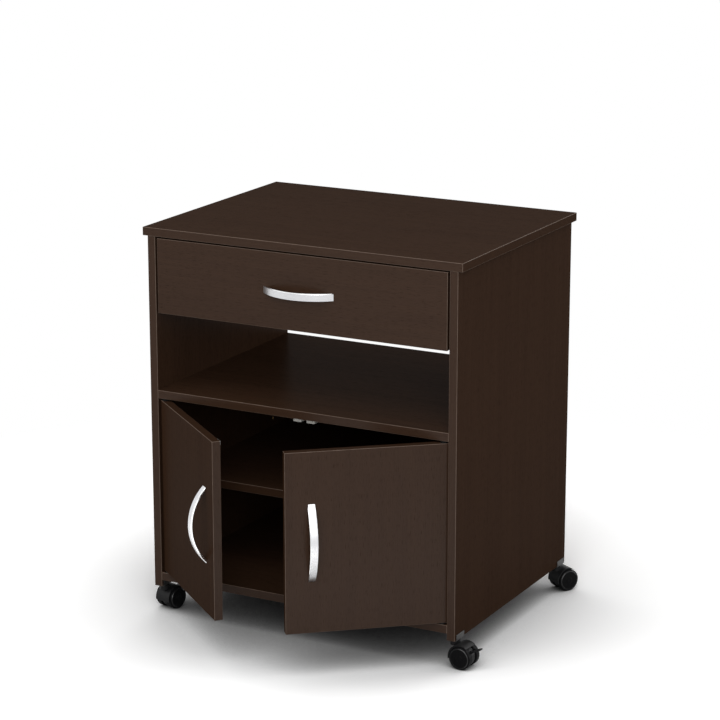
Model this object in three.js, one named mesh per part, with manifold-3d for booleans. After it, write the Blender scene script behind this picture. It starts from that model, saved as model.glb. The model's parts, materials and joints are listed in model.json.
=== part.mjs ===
// Microwave cart: a dark laminate cabinet on twin-wheel casters, with a drawer under the top,
// an open shelf, and a two-door cupboard below. Millimetres. X runs to the right, Y to the back
// and Z up. Inside the cart group the floor is z = 0, the front edges lie on y = 0 and the
// middle plane is x = 0.
import * as THREE from 'three';
import { mergeVertices } from 'three/addons/utils/BufferGeometryUtils.js';
import Module from 'manifold-3d';

const wasm = await Module();
wasm.setup();

// ---------------------------------------------------------------- driving dimensions

const BOARD = 15;
const CARCASS_WIDTH = 600;
const CARCASS_DEPTH = 464;
const SIDE_HEIGHT = 644;

const TOP_SIDE_OVERHANG = 9;
const TOP_END_OVERHANG = 1.5;

const BOTTOM_PANEL_RISE = 12;
const FIXED_SHELF_RISE = 352;

const BACK_PANEL_THICKNESS = 3;
const BACK_PANEL_LAP = 6;
const BACK_RAIL_HEIGHT = 100;

const PIN_HOLE_DEPTH = 9;
const PIN_HOLE_PITCH = 32;
const PIN_HOLES_PER_ROW = 5;
const PIN_ROW_FRONT_SETBACK = 96;
const PIN_ROW_BACK_SETBACK = 60;
const PIN_RADIUS = 2.5;
const PIN_HOLE_PLAY = 0.1;
const PIN_REACH = 8;
const PIN_COLLAR_RADIUS = 4;
const PIN_COLLAR_LENGTH = 1.5;

const SHELF_FRONT_RECESS = 60;
const SHELF_SIDE_GAP = 1;
const SHELF_BACK_GAP = 2;
const SHELF_CENTRE_RISE = 163;

const DOOR_CORNER_PLAY = 0.9;
const DRAWER_TOP_GAP = 3;
const DRAWER_FRONT_HEIGHT = 133.5;
const DRAWER_BACK_SPACE = 34;
const DRAWER_SIDE_THICKNESS = 12;
const DRAWER_SIDE_HEIGHT = 90;
const DRAWER_SIDE_RISE = 11.7;
const DRAWER_BOTTOM_THICKNESS = 3;
const DRAWER_BOTTOM_RISE = 6;
const DRAWER_GROOVE_DEPTH = 5;
const DRAWER_BOTTOM_PLAY = 0.5;
const GROOVE_PLAY = 0.2;

const RUNNER_SPACE = 12.5;
const RUNNER_SHEET = 1.2;
const RUNNER_FLANGE = 10;
const RUNNER_FOOT = 11;
const RUNNER_FOOT_CLEARANCE = 2.5;
const ROLLER_RADIUS = 9;
const ROLLER_PIN_RADIUS = 2.2;
const ROLLER_BORE_PLAY = 0.2;
const ROLLER_WIDTH = 6;
const ROLLER_PLAY = 0.3;
const ROLLER_SIDE_PLAY = 0.8;
const ROLLER_END_SETBACK = 13;
const RUNNER_FRONT_GAP = 2;

const DOOR_BOTTOM_GAP = 3;
const DOOR_TOP_GAP = 4;
const DOOR_MEETING_GAP = 2;
const DOOR_OPEN_ANGLE = 40;
const HINGE_EDGE_INSET = 7.5;
const HINGE_PIN_RADIUS = 2.5;
const HINGE_PIN_LENGTH = 9;
const HINGE_HOLE_PLAY = 0.3;
const HINGE_END_PLAY = 1;
const HINGE_FLANGE_RADIUS = 7;
const HINGE_FLANGE_THICKNESS = 1.4;
const BUSH_RADIUS = 4;
const BUSH_LENGTH = 11;
const BUSH_FLANGE_RADIUS = 6.5;
const BUSH_FLANGE_THICKNESS = 1.3;

const STRIKE_WIDTH = 16;
const STRIKE_HEIGHT = 8;
const STRIKE_THICKNESS = 1.5;
const STRIKE_FROM_EDGE = 4;
const STRIKE_TOP_MARGIN = 1;
const CATCH_PLAY = 0.3;
const CATCH_HEAD_HEIGHT = 10;
const CATCH_HEAD_DEPTH = 14;
const CATCH_BASE_THICKNESS = 4;
const CATCH_BASE_DEPTH = 24;
const CATCH_BASE_MARGIN = 3;
const CATCH_BASE_SETBACK = 2;

const HANDLE_LENGTH = 136;
const HANDLE_WIDTH = 14;
const HANDLE_PROJECTION = 28;
const HANDLE_STRAP = 4.5;
const HANDLE_FOOT = 7;
const HANDLE_BEVEL = 1;
const HANDLE_FROM_EDGE = 45;

const CASTER_EDGE_SETBACK = 20;
const CASTER_HEADROOM = 9;
const WHEEL_RADIUS = 20.5;
const WHEEL_WIDTH = 12;
const WHEEL_ROUNDING = 1.6;
const WHEEL_FACE_RECESS = 1.2;
const WHEEL_FACE_THICKNESS = 2.4;
const AXLE_RADIUS = 3;
const AXLE_PLAY = 0.3;
const AXLE_END_PLAY = 0.4;
const CASTER_TRAIL = 17;
const CASTER_WEB = 10;
const WEB_TO_WHEEL = 2;
const WEB_INSIDE_WHEEL = 2;
const FENDER_PLAY = 1.2;
const FENDER_THICKNESS = 2.4;
const FENDER_WIDTH = 32;
const FENDER_START_ANGLE = 56;
const FENDER_END_ANGLE = 190;
const BOSS_RADIUS = 9;
const BOSS_HEIGHT = 6.6;
const STEM_RADIUS = 4;
const STEM_ABOVE_PANEL_EDGE = 30;
const STEM_PLAY = 0.3;
const STEM_SOCKET_EXTRA = 4;
const SWIVEL_PLAY = 0.3;

const BRACKET_SHEET = 1.5;
const BRACKET_LENGTH = 30;
const BRACKET_FLANGE_HEIGHT = 10;

const PEDAL_PIVOT_ANGLE = 40;
const PEDAL_PIVOT_INSIDE_WEB = 4.5;
const PEDAL_CHEEK = 1.2;
const PEDAL_CHEEK_PLAY = 0.3;
const PEDAL_PIN_RADIUS = 1.6;
const PEDAL_HUB_RADIUS = 3.4;
const PEDAL_TAB_PLAY = 1.5;
const PEDAL_TAB_PAST_WHEEL = 12.5;
const PEDAL_TAB_THICKNESS = 2.4;
const PEDAL_TAB_BELOW_WHEEL_TOP = 7.5;
const PEDAL_TAB_RISE = 4.5;

// How far a cutting tool, or the root of a joined piece, runs past the face that it meets.
const OVERRUN = 1;

// Which way each caster points, in degrees from +X to the side on which its wheels trail.
const CASTERS = [
  { name: 'front_left', side: -1, atFront: true, trailAngle: 78 },
  { name: 'front_right', side: 1, atFront: true, trailAngle: -4 },
  { name: 'rear_left', side: -1, atFront: false, trailAngle: 112 },
  { name: 'rear_right', side: 1, atFront: false, trailAngle: 59 },
];

// ---------------------------------------------------------------- derived places

const SIDE_BOTTOM = 2 * WHEEL_RADIUS + CASTER_HEADROOM;
const SIDE_TOP = SIDE_BOTTOM + SIDE_HEIGHT;
const HALF_WIDTH = CARCASS_WIDTH / 2;
const HALF_INSIDE = HALF_WIDTH - BOARD;
const PANEL_CENTRE_X = HALF_WIDTH - BOARD / 2;

const BOTTOM_PANEL_TOP = SIDE_BOTTOM + BOTTOM_PANEL_RISE + BOARD;
const FIXED_SHELF_UNDERSIDE = SIDE_BOTTOM + FIXED_SHELF_RISE;
const FIXED_SHELF_TOP = FIXED_SHELF_UNDERSIDE + BOARD;
const SHELF_UNDERSIDE = BOTTOM_PANEL_TOP + SHELF_CENTRE_RISE - BOARD / 2;
const SHELF_BACK = CARCASS_DEPTH - BACK_PANEL_THICKNESS - SHELF_BACK_GAP;
const PIN_CENTRE_Z = SHELF_UNDERSIDE - PIN_RADIUS;
const PIN_HOLE_RADIUS = PIN_RADIUS + PIN_HOLE_PLAY;
const PIN_ROW_Y = [PIN_ROW_FRONT_SETBACK, CARCASS_DEPTH - PIN_ROW_BACK_SETBACK];

const BACK_PANEL_BOTTOM = BOTTOM_PANEL_TOP - BACK_PANEL_LAP;
const BACK_PANEL_TOP = FIXED_SHELF_UNDERSIDE + BACK_PANEL_LAP;
const BACK_PANEL_FRONT = CARCASS_DEPTH - BACK_PANEL_THICKNESS;

// A door's hinge edge has square corners, so the gap beside it lets them swing past the panel.
const DOOR_CORNER_REACH = Math.hypot(HINGE_EDGE_INSET, BOARD / 2);
const FRONT_GAP = DOOR_CORNER_REACH - HINGE_EDGE_INSET + DOOR_CORNER_PLAY;
const FRONT_HALF_WIDTH = HALF_INSIDE - FRONT_GAP;
const DRAWER_FRONT_TOP = SIDE_TOP - DRAWER_TOP_GAP;
const DRAWER_FRONT_BOTTOM = DRAWER_FRONT_TOP - DRAWER_FRONT_HEIGHT;
const DRAWER_SIDE_BOTTOM = DRAWER_FRONT_BOTTOM + DRAWER_SIDE_RISE;
const DRAWER_SIDE_TOP = DRAWER_SIDE_BOTTOM + DRAWER_SIDE_HEIGHT;
const DRAWER_HALF_OUTSIDE = HALF_INSIDE - RUNNER_SPACE;
const DRAWER_HALF_INSIDE = DRAWER_HALF_OUTSIDE - DRAWER_SIDE_THICKNESS;
const DRAWER_BACK_END = CARCASS_DEPTH - BOARD - DRAWER_BACK_SPACE;
const DRAWER_BOTTOM_UNDERSIDE = DRAWER_SIDE_BOTTOM + DRAWER_BOTTOM_RISE;
const DRAWER_BOTTOM_TOP = DRAWER_BOTTOM_UNDERSIDE + DRAWER_BOTTOM_THICKNESS;

const TRACK_Z = DRAWER_SIDE_BOTTOM + RUNNER_SHEET + RUNNER_FOOT_CLEARANCE;
const ROLLER_BORE_RADIUS = ROLLER_PIN_RADIUS + ROLLER_BORE_PLAY;
const ROLLER_CENTRE_Z = TRACK_Z + ROLLER_PLAY + ROLLER_RADIUS;
const RUNNER_WING_Z = ROLLER_CENTRE_Z + ROLLER_RADIUS + ROLLER_PLAY;
const CHANNEL_LIP_Z = RUNNER_WING_Z + RUNNER_SHEET + ROLLER_PLAY;
const ROLLER_OUTER_X = HALF_INSIDE - RUNNER_SHEET - ROLLER_SIDE_PLAY;
const ROLLER_INNER_X = ROLLER_OUTER_X - ROLLER_WIDTH;
const RUNNER_FRONT_Y = BOARD + RUNNER_FRONT_GAP;
const CABINET_ROLLER_Y = RUNNER_FRONT_Y + ROLLER_END_SETBACK;
const DRAWER_ROLLER_Y = DRAWER_BACK_END - ROLLER_END_SETBACK;

const DOOR_BOTTOM = BOTTOM_PANEL_TOP + DOOR_BOTTOM_GAP;
const DOOR_TOP = FIXED_SHELF_UNDERSIDE - DOOR_TOP_GAP;
const DOOR_HEIGHT = DOOR_TOP - DOOR_BOTTOM;
const DOOR_FREE_X = DOOR_MEETING_GAP / 2;
const HINGE_X = FRONT_HALF_WIDTH - HINGE_EDGE_INSET;
const HINGE_Y = BOARD / 2;

const STEM_TOP = SIDE_BOTTOM + STEM_ABOVE_PANEL_EDGE;
const BRACKET_UNDERSIDE = SIDE_BOTTOM - BRACKET_SHEET;
const BOSS_TOP = BRACKET_UNDERSIDE - SWIVEL_PLAY;
const STEM_SOCKET_RADIUS = STEM_RADIUS + STEM_PLAY;
const WHEEL_BORE_RADIUS = AXLE_RADIUS + AXLE_PLAY;
const WHEEL_GAP = CASTER_WEB + 2 * WEB_TO_WHEEL;
const WEB_RADIUS = WHEEL_RADIUS - WEB_INSIDE_WHEEL;
const PEDAL_PIVOT_REACH = WEB_RADIUS - PEDAL_PIVOT_INSIDE_WEB;
const CASTER_Y = { front: CASTER_EDGE_SETBACK, back: CARCASS_DEPTH - CASTER_EDGE_SETBACK };

// ---------------------------------------------------------------- materials

function finish(color, roughness, metalness) {
  return () => new THREE.MeshStandardMaterial({ color, roughness, metalness });
}

const laminate = finish(0x33261f, 0.45, 0);
const hardboard = finish(0x2b201a, 0.7, 0);
const satinNickel = finish(0xc9c6c0, 0.3, 1);
const zincSteel = finish(0xa7a7a4, 0.4, 1);
const darkSteel = finish(0x474644, 0.45, 0.6);
const enamelSteel = finish(0xd9d3c4, 0.5, 0.2);
const blackPlastic = finish(0x151515, 0.4, 0);
const treadPlastic = finish(0x0f0f0f, 0.5, 0);
const whitePlastic = finish(0xe6e4dd, 0.5, 0);

// ---------------------------------------------------------------- solids

/** Turns a closed three.js geometry into a solid that can be joined and cut. */
function solid(geometry) {
  const bare = geometry.index ? geometry.toNonIndexed() : geometry.clone();
  bare.deleteAttribute('normal');
  bare.deleteAttribute('uv');
  const merged = mergeVertices(bare, 1e-4);
  return new wasm.Manifold(new wasm.Mesh({
    numProp: 3,
    vertProperties: new Float32Array(merged.attributes.position.array),
    triVerts: new Uint32Array(merged.index.array),
  }));
}

/** A box given by its low and high corners. */
function boxSolid(low, high) {
  const size = high.map((value, axis) => value - low[axis]);
  const geometry = new THREE.BoxGeometry(...size);
  geometry.translate(...low.map((value, axis) => value + size[axis] / 2));
  return solid(geometry);
}

/** A cylinder with its axis along x, y or z, given by the middle of its first end. */
function cylinderSolid(axis, radius, length, start, sides = 24) {
  const geometry = new THREE.CylinderGeometry(radius, radius, length, sides);
  geometry.translate(0, length / 2, 0);
  if (axis === 'x') {
    geometry.rotateZ(-Math.PI / 2);
  }
  if (axis === 'z') {
    geometry.rotateX(Math.PI / 2);
  }
  geometry.translate(...start);
  return solid(geometry);
}

/** An outline in the XZ plane, pushed along Y from one place to another. */
function alongY(shape, fromY, toY, curveSegments = 24) {
  const geometry = new THREE.ExtrudeGeometry(shape, {
    depth: toY - fromY,
    bevelEnabled: false,
    curveSegments,
  });
  geometry.rotateX(Math.PI / 2);
  geometry.translate(0, toY, 0);
  return solid(geometry);
}

/** A closed outline through straight-edged points. */
function outline(points) {
  return new THREE.Shape(points.map(([x, y]) => new THREE.Vector2(x, y)));
}

/** Joins a list of solids into one. */
function joined(parts) {
  return parts.reduce((whole, part) => whole.add(part));
}

/** Cuts every solid of a list out of the first. */
function cut(whole, tools) {
  return tools.reduce((rest, tool) => rest.subtract(tool), whole);
}

/** A named mesh of a finished solid. */
function piece(name, body, material) {
  const mesh = body.getMesh();
  const geometry = new THREE.BufferGeometry();
  geometry.setAttribute('position', new THREE.BufferAttribute(mesh.vertProperties, mesh.numProp));
  geometry.setIndex(new THREE.BufferAttribute(mesh.triVerts, 1));
  geometry.computeVertexNormals();
  const made = new THREE.Mesh(geometry, material());
  made.name = name;
  return made;
}

/** Mirrors an x range to the left when side is -1, low value first. */
function sided(side, low, high) {
  return side > 0 ? [low, high] : [-high, -low];
}

/** A box whose x range is given for the right-hand side and mirrored for the left. */
function sidedBox(side, xRange, yRange, zRange) {
  const [x0, x1] = sided(side, ...xRange);
  return boxSolid([x0, yRange[0], zRange[0]], [x1, yRange[1], zRange[1]]);
}

const SIDES = [{ word: 'left', side: -1 }, { word: 'right', side: 1 }];

// ---------------------------------------------------------------- carcass

function topPanel() {
  const half = HALF_WIDTH + TOP_SIDE_OVERHANG;
  const back = CARCASS_DEPTH + TOP_END_OVERHANG;
  const body = boxSolid([-half, -TOP_END_OVERHANG, SIDE_TOP], [half, back, SIDE_TOP + BOARD]);
  return piece('top_panel', body, laminate);
}

/** The blind holes for shelf pins, in two rows on the inner face of a side panel. */
function pinHoles(side) {
  const start = side > 0 ? HALF_INSIDE : -HALF_INSIDE - PIN_HOLE_DEPTH;
  const middle = (PIN_HOLES_PER_ROW - 1) / 2;
  const holes = [];
  for (const y of PIN_ROW_Y) {
    for (let step = 0; step < PIN_HOLES_PER_ROW; step += 1) {
      const z = PIN_CENTRE_Z + (step - middle) * PIN_HOLE_PITCH;
      holes.push(cylinderSolid('x', PIN_HOLE_RADIUS, PIN_HOLE_DEPTH, [start, y, z], 10));
    }
  }
  return holes;
}

/** The blind holes in a side panel's lower edge that take the caster stems. */
function stemSockets(side) {
  const depth = STEM_ABOVE_PANEL_EDGE + STEM_SOCKET_EXTRA;
  const x = side * PANEL_CENTRE_X;
  return [CASTER_Y.front, CASTER_Y.back].map(
    (y) => cylinderSolid('z', STEM_SOCKET_RADIUS, depth, [x, y, SIDE_BOTTOM], 16),
  );
}

/** The step in the back edges that the thin back panel lies in. */
function backRabbet() {
  const half = HALF_INSIDE + BACK_PANEL_LAP;
  return boxSolid([-half, BACK_PANEL_FRONT, BACK_PANEL_BOTTOM], [half, CARCASS_DEPTH, BACK_PANEL_TOP]);
}

function sidePanel({ word, side }) {
  const board = sidedBox(side, [HALF_INSIDE, HALF_WIDTH], [0, CARCASS_DEPTH], [SIDE_BOTTOM, SIDE_TOP]);
  const body = cut(board, [backRabbet(), ...pinHoles(side), ...stemSockets(side)]);
  return piece(`${word}_side_panel`, body, laminate);
}

/** The holes for the door pins in the board below or above the doors. */
function hingePinHoles(fromZ) {
  const radius = HINGE_PIN_RADIUS + HINGE_HOLE_PLAY;
  return SIDES.map(
    ({ side }) => cylinderSolid('z', radius, HINGE_PIN_LENGTH, [side * HINGE_X, HINGE_Y, fromZ], 12),
  );
}

function bottomPanel() {
  const board = boxSolid(
    [-HALF_INSIDE, 0, BOTTOM_PANEL_TOP - BOARD],
    [HALF_INSIDE, CARCASS_DEPTH, BOTTOM_PANEL_TOP],
  );
  const body = cut(board, [backRabbet(), ...hingePinHoles(BOTTOM_PANEL_TOP - HINGE_PIN_LENGTH)]);
  return piece('bottom_panel', body, laminate);
}

function fixedShelf() {
  const board = boxSolid(
    [-HALF_INSIDE, 0, FIXED_SHELF_UNDERSIDE],
    [HALF_INSIDE, CARCASS_DEPTH, FIXED_SHELF_TOP],
  );
  const body = cut(board, [backRabbet(), ...hingePinHoles(FIXED_SHELF_UNDERSIDE)]);
  return piece('fixed_shelf', body, laminate);
}

function adjustableShelf() {
  const half = HALF_INSIDE - SHELF_SIDE_GAP;
  const body = boxSolid(
    [-half, SHELF_FRONT_RECESS, SHELF_UNDERSIDE],
    [half, SHELF_BACK, SHELF_UNDERSIDE + BOARD],
  );
  return piece('adjustable_shelf', body, laminate);
}

function lowerBackPanel() {
  return piece('lower_back_panel', backRabbet(), hardboard);
}

function backRail() {
  const body = boxSolid(
    [-HALF_INSIDE, CARCASS_DEPTH - BOARD, SIDE_TOP - BACK_RAIL_HEIGHT],
    [HALF_INSIDE, CARCASS_DEPTH, SIDE_TOP],
  );
  return piece('back_rail', body, laminate);
}

/** A shelf pin: a shank in its hole, a collar on the panel and a peg under the shelf. */
function shelfPin({ word, side }, row, y) {
  const inHole = HALF_INSIDE + PIN_HOLE_DEPTH - GROOVE_PLAY;
  const pegEnd = HALF_INSIDE - PIN_REACH;
  const shankStart = side > 0 ? pegEnd : -inHole;
  const collarStart = side > 0 ? HALF_INSIDE - PIN_COLLAR_LENGTH : -HALF_INSIDE;
  const shank = cylinderSolid('x', PIN_RADIUS, inHole - pegEnd, [shankStart, y, PIN_CENTRE_Z], 10);
  const collar = cylinderSolid('x', PIN_COLLAR_RADIUS, PIN_COLLAR_LENGTH, [collarStart, y, PIN_CENTRE_Z], 12);
  const room = boxSolid(
    [-HALF_WIDTH, y - PIN_COLLAR_RADIUS, SHELF_UNDERSIDE],
    [HALF_WIDTH, y + PIN_COLLAR_RADIUS, SHELF_UNDERSIDE + PIN_COLLAR_RADIUS],
  );
  const body = cut(shank.add(collar), [room]);
  return piece(`shelf_pin_${word}_${row}`, body, zincSteel);
}

// ---------------------------------------------------------------- drawer and its runners

/** The drawer front, grooved at the back for the drawer bottom. */
function drawerFront() {
  const board = boxSolid(
    [-FRONT_HALF_WIDTH, 0, DRAWER_FRONT_BOTTOM],
    [FRONT_HALF_WIDTH, BOARD, DRAWER_FRONT_TOP],
  );
  const half = DRAWER_HALF_INSIDE + DRAWER_GROOVE_DEPTH;
  const groove = boxSolid(
    [-half, BOARD - DRAWER_GROOVE_DEPTH, DRAWER_BOTTOM_UNDERSIDE],
    [half, BOARD + OVERRUN, DRAWER_BOTTOM_TOP + GROOVE_PLAY],
  );
  return piece('drawer_front', cut(board, [groove]), laminate);
}

function drawerSide({ word, side }) {
  const board = sidedBox(
    side,
    [DRAWER_HALF_INSIDE, DRAWER_HALF_OUTSIDE],
    [BOARD, DRAWER_BACK_END],
    [DRAWER_SIDE_BOTTOM, DRAWER_SIDE_TOP],
  );
  const groove = sidedBox(
    side,
    [DRAWER_HALF_INSIDE - OVERRUN, DRAWER_HALF_INSIDE + DRAWER_GROOVE_DEPTH],
    [BOARD - OVERRUN, DRAWER_BACK_END + OVERRUN],
    [DRAWER_BOTTOM_UNDERSIDE, DRAWER_BOTTOM_TOP + GROOVE_PLAY],
  );
  return piece(`drawer_side_${word}`, cut(board, [groove]), laminate);
}

function drawerBack() {
  const body = boxSolid(
    [-DRAWER_HALF_INSIDE, DRAWER_BACK_END - DRAWER_SIDE_THICKNESS, DRAWER_BOTTOM_TOP + GROOVE_PLAY],
    [DRAWER_HALF_INSIDE, DRAWER_BACK_END, DRAWER_SIDE_TOP],
  );
  return piece('drawer_back', body, laminate);
}

function drawerBottom() {
  const half = DRAWER_HALF_INSIDE + DRAWER_GROOVE_DEPTH - DRAWER_BOTTOM_PLAY;
  const body = boxSolid(
    [-half, BOARD - DRAWER_GROOVE_DEPTH + DRAWER_BOTTOM_PLAY, DRAWER_BOTTOM_UNDERSIDE],
    [half, DRAWER_BACK_END, DRAWER_BOTTOM_TOP],
  );
  return piece('drawer_bottom', body, hardboard);
}

/** The pressed steel channel on the cabinet side, with the pin for its front roller. */
function cabinetRunner({ word, side }) {
  const reach = HALF_INSIDE - RUNNER_FLANGE;
  const wall = HALF_INSIDE - RUNNER_SHEET;
  const along = [RUNNER_FRONT_Y, DRAWER_BACK_END];
  const lipTop = CHANNEL_LIP_Z + RUNNER_SHEET;
  const web = sidedBox(side, [wall, HALF_INSIDE], along, [TRACK_Z - RUNNER_SHEET, lipTop]);
  const track = sidedBox(side, [reach, HALF_INSIDE], along, [TRACK_Z - RUNNER_SHEET, TRACK_Z]);
  const lip = sidedBox(side, [reach, HALF_INSIDE], along, [CHANNEL_LIP_Z, lipTop]);
  const [pinStart] = sided(side, ROLLER_INNER_X, HALF_INSIDE);
  const pinPlace = [pinStart, CABINET_ROLLER_Y, ROLLER_CENTRE_Z];
  const pin = cylinderSolid('x', ROLLER_PIN_RADIUS, HALF_INSIDE - ROLLER_INNER_X, pinPlace, 12);
  return piece(`cabinet_runner_${word}`, joined([web, track, lip, pin]), enamelSteel);
}

/** The steel angle under the drawer side, with its wing over the rollers and its own roller pin. */
function drawerRunner({ word, side }) {
  const outside = DRAWER_HALF_OUTSIDE;
  const along = [BOARD, DRAWER_BACK_END];
  const underside = DRAWER_SIDE_BOTTOM - RUNNER_SHEET;
  const wingEnd = HALF_INSIDE - RUNNER_SHEET - ROLLER_SIDE_PLAY;
  const foot = sidedBox(side, [outside - RUNNER_FOOT, outside], along, [underside, DRAWER_SIDE_BOTTOM]);
  const wingTop = RUNNER_WING_Z + RUNNER_SHEET;
  const web = sidedBox(side, [outside, outside + RUNNER_SHEET], along, [underside, wingTop]);
  const wing = sidedBox(side, [outside, wingEnd], along, [RUNNER_WING_Z, wingTop]);
  const [pinStart] = sided(side, outside, ROLLER_OUTER_X);
  const pinPlace = [pinStart, DRAWER_ROLLER_Y, ROLLER_CENTRE_Z];
  const pin = cylinderSolid('x', ROLLER_PIN_RADIUS, ROLLER_OUTER_X - outside, pinPlace, 12);
  return piece(`drawer_runner_${word}`, joined([foot, web, wing, pin]), enamelSteel);
}

/** A plastic roller with a bore, on a pin that runs along X. */
function runnerRoller(owner, { word, side }, y) {
  const [start] = sided(side, ROLLER_INNER_X, ROLLER_OUTER_X);
  const disc = cylinderSolid('x', ROLLER_RADIUS, ROLLER_WIDTH, [start, y, ROLLER_CENTRE_Z], 24);
  const boreLength = ROLLER_WIDTH + 2 * OVERRUN;
  const bore = cylinderSolid('x', ROLLER_BORE_RADIUS, boreLength, [start - OVERRUN, y, ROLLER_CENTRE_Z], 12);
  return piece(`${owner}_roller_${word}`, cut(disc, [bore]), whitePlastic);
}

// ---------------------------------------------------------------- handles

/** The circle through the ends of a bow that spans a chord and rises a given height. */
function bowCircle(halfChord, rise) {
  const radius = (halfChord * halfChord + rise * rise) / (2 * rise);
  return { radius, centre: rise - radius, angle: Math.asin(halfChord / radius) };
}

/**
 * A bow handle. Its length lies along X, it rises toward +Y from y = 0, and its width is centred
 * on z = 0. Both feet are cut flat where they meet the board.
 */
function handleSolid() {
  const outer = bowCircle(HANDLE_LENGTH / 2 - HANDLE_BEVEL, HANDLE_PROJECTION - HANDLE_BEVEL);
  const inner = bowCircle(HANDLE_LENGTH / 2 - HANDLE_FOOT, HANDLE_PROJECTION - HANDLE_STRAP + HANDLE_BEVEL);
  const shape = new THREE.Shape();
  const up = Math.PI / 2;
  shape.absarc(0, outer.centre, outer.radius, up - outer.angle, up + outer.angle, false);
  shape.absarc(0, inner.centre, inner.radius, up + inner.angle, up - inner.angle, true);
  shape.closePath();
  const depth = HANDLE_WIDTH - 2 * HANDLE_BEVEL;
  const geometry = new THREE.ExtrudeGeometry(shape, {
    depth,
    curveSegments: 14,
    bevelEnabled: true,
    bevelThickness: HANDLE_BEVEL,
    bevelSize: HANDLE_BEVEL,
    bevelSegments: 1,
  });
  geometry.translate(0, 0, -depth / 2);
  const behindBoard = boxSolid(
    [-HANDLE_LENGTH, -HANDLE_LENGTH, -HANDLE_WIDTH],
    [HANDLE_LENGTH, 0, HANDLE_WIDTH],
  );
  return cut(solid(geometry), [behindBoard]);
}

/** The drawer handle lies across the drawer front. */
function drawerHandle() {
  const handle = piece('drawer_handle', handleSolid(), satinNickel);
  handle.rotation.x = Math.PI;
  handle.position.set(0, 0, (DRAWER_FRONT_BOTTOM + DRAWER_FRONT_TOP) / 2);
  return handle;
}

/** A door handle stands upright near the free edge of its door. */
function doorHandle({ word, side }) {
  const handle = piece(`door_handle_${word}`, handleSolid(), satinNickel);
  handle.rotation.set(Math.PI, Math.PI / 2, 0, 'YXZ');
  handle.position.set(side * (DOOR_FREE_X + HANDLE_FROM_EDGE), 0, (DOOR_BOTTOM + DOOR_TOP) / 2);
  return handle;
}

// ---------------------------------------------------------------- doors

/** A door board in its closed place, bored at both ends for the hinge bushes. */
function doorBoard({ word, side }) {
  const board = sidedBox(side, [DOOR_FREE_X, FRONT_HALF_WIDTH], [0, BOARD], [DOOR_BOTTOM, DOOR_TOP]);
  const radius = BUSH_RADIUS + HINGE_HOLE_PLAY;
  const depth = BUSH_LENGTH + HINGE_HOLE_PLAY;
  const bores = [DOOR_BOTTOM, DOOR_TOP - depth].map(
    (z) => cylinderSolid('z', radius, depth, [side * HINGE_X, HINGE_Y, z], 12),
  );
  return piece(`${word}_door`, cut(board, bores), laminate);
}

/** A flanged bush let into the lower or upper end of a door. */
function hingeBush({ word, side }, end) {
  const atTop = end === 'top';
  const x = side * HINGE_X;
  const sleeveStart = atTop ? DOOR_TOP - BUSH_LENGTH : DOOR_BOTTOM;
  const flangeStart = atTop ? DOOR_TOP : DOOR_BOTTOM - BUSH_FLANGE_THICKNESS;
  const boreLength = BUSH_LENGTH + BUSH_FLANGE_THICKNESS;
  const boreStart = atTop ? DOOR_TOP - BUSH_LENGTH + HINGE_END_PLAY : flangeStart - HINGE_END_PLAY;
  const boreRadius = HINGE_PIN_RADIUS + HINGE_HOLE_PLAY;
  const sleeve = cylinderSolid('z', BUSH_RADIUS, BUSH_LENGTH, [x, HINGE_Y, sleeveStart], 12);
  const flange = cylinderSolid('z', BUSH_FLANGE_RADIUS, BUSH_FLANGE_THICKNESS, [x, HINGE_Y, flangeStart], 16);
  const bore = cylinderSolid('z', boreRadius, boreLength, [x, HINGE_Y, boreStart], 12);
  return piece(`hinge_bush_${word}_${end}`, cut(sleeve.add(flange), [bore]), blackPlastic);
}

/** A hinge pin with a flange on the board, one end in the board and one in the door's bush. */
function hingePin({ word, side }, end) {
  const atTop = end === 'top';
  const x = side * HINGE_X;
  const face = atTop ? FIXED_SHELF_UNDERSIDE : BOTTOM_PANEL_TOP;
  const inBoard = HINGE_PIN_LENGTH - HINGE_HOLE_PLAY;
  const gap = atTop ? DOOR_TOP_GAP : DOOR_BOTTOM_GAP;
  const inDoor = gap + HINGE_PIN_LENGTH - HINGE_END_PLAY;
  const shankStart = atTop ? face - inDoor : face - inBoard;
  const flangeStart = atTop ? face - HINGE_FLANGE_THICKNESS : face;
  const shank = cylinderSolid('z', HINGE_PIN_RADIUS, inBoard + inDoor, [x, HINGE_Y, shankStart], 12);
  const flangePlace = [x, HINGE_Y, flangeStart];
  const flange = cylinderSolid('z', HINGE_FLANGE_RADIUS, HINGE_FLANGE_THICKNESS, flangePlace, 16);
  return piece(`hinge_pin_${word}_${end}`, shank.add(flange), darkSteel);
}

/** The steel plate on the back of a door that the catch holds. */
function strikePlate({ word, side }) {
  const near = DOOR_FREE_X + STRIKE_FROM_EDGE;
  const high = DOOR_TOP - STRIKE_TOP_MARGIN;
  const body = sidedBox(
    side,
    [near, near + STRIKE_WIDTH],
    [BOARD, BOARD + STRIKE_THICKNESS],
    [high - STRIKE_HEIGHT, high],
  );
  return piece(`strike_plate_${word}`, body, zincSteel);
}

/** A door with what it carries, turned about its hinge pins to the angle at which it stands. */
function door(which) {
  const closed = new THREE.Group();
  closed.add(doorBoard(which), doorHandle(which), strikePlate(which));
  closed.add(hingeBush(which, 'bottom'), hingeBush(which, 'top'));
  closed.position.set(-which.side * HINGE_X, -HINGE_Y, 0);
  const hung = new THREE.Group();
  hung.add(closed);
  hung.rotation.z = which.side * THREE.MathUtils.degToRad(DOOR_OPEN_ANGLE);
  hung.position.set(which.side * HINGE_X, HINGE_Y, 0);
  return hung;
}

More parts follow.
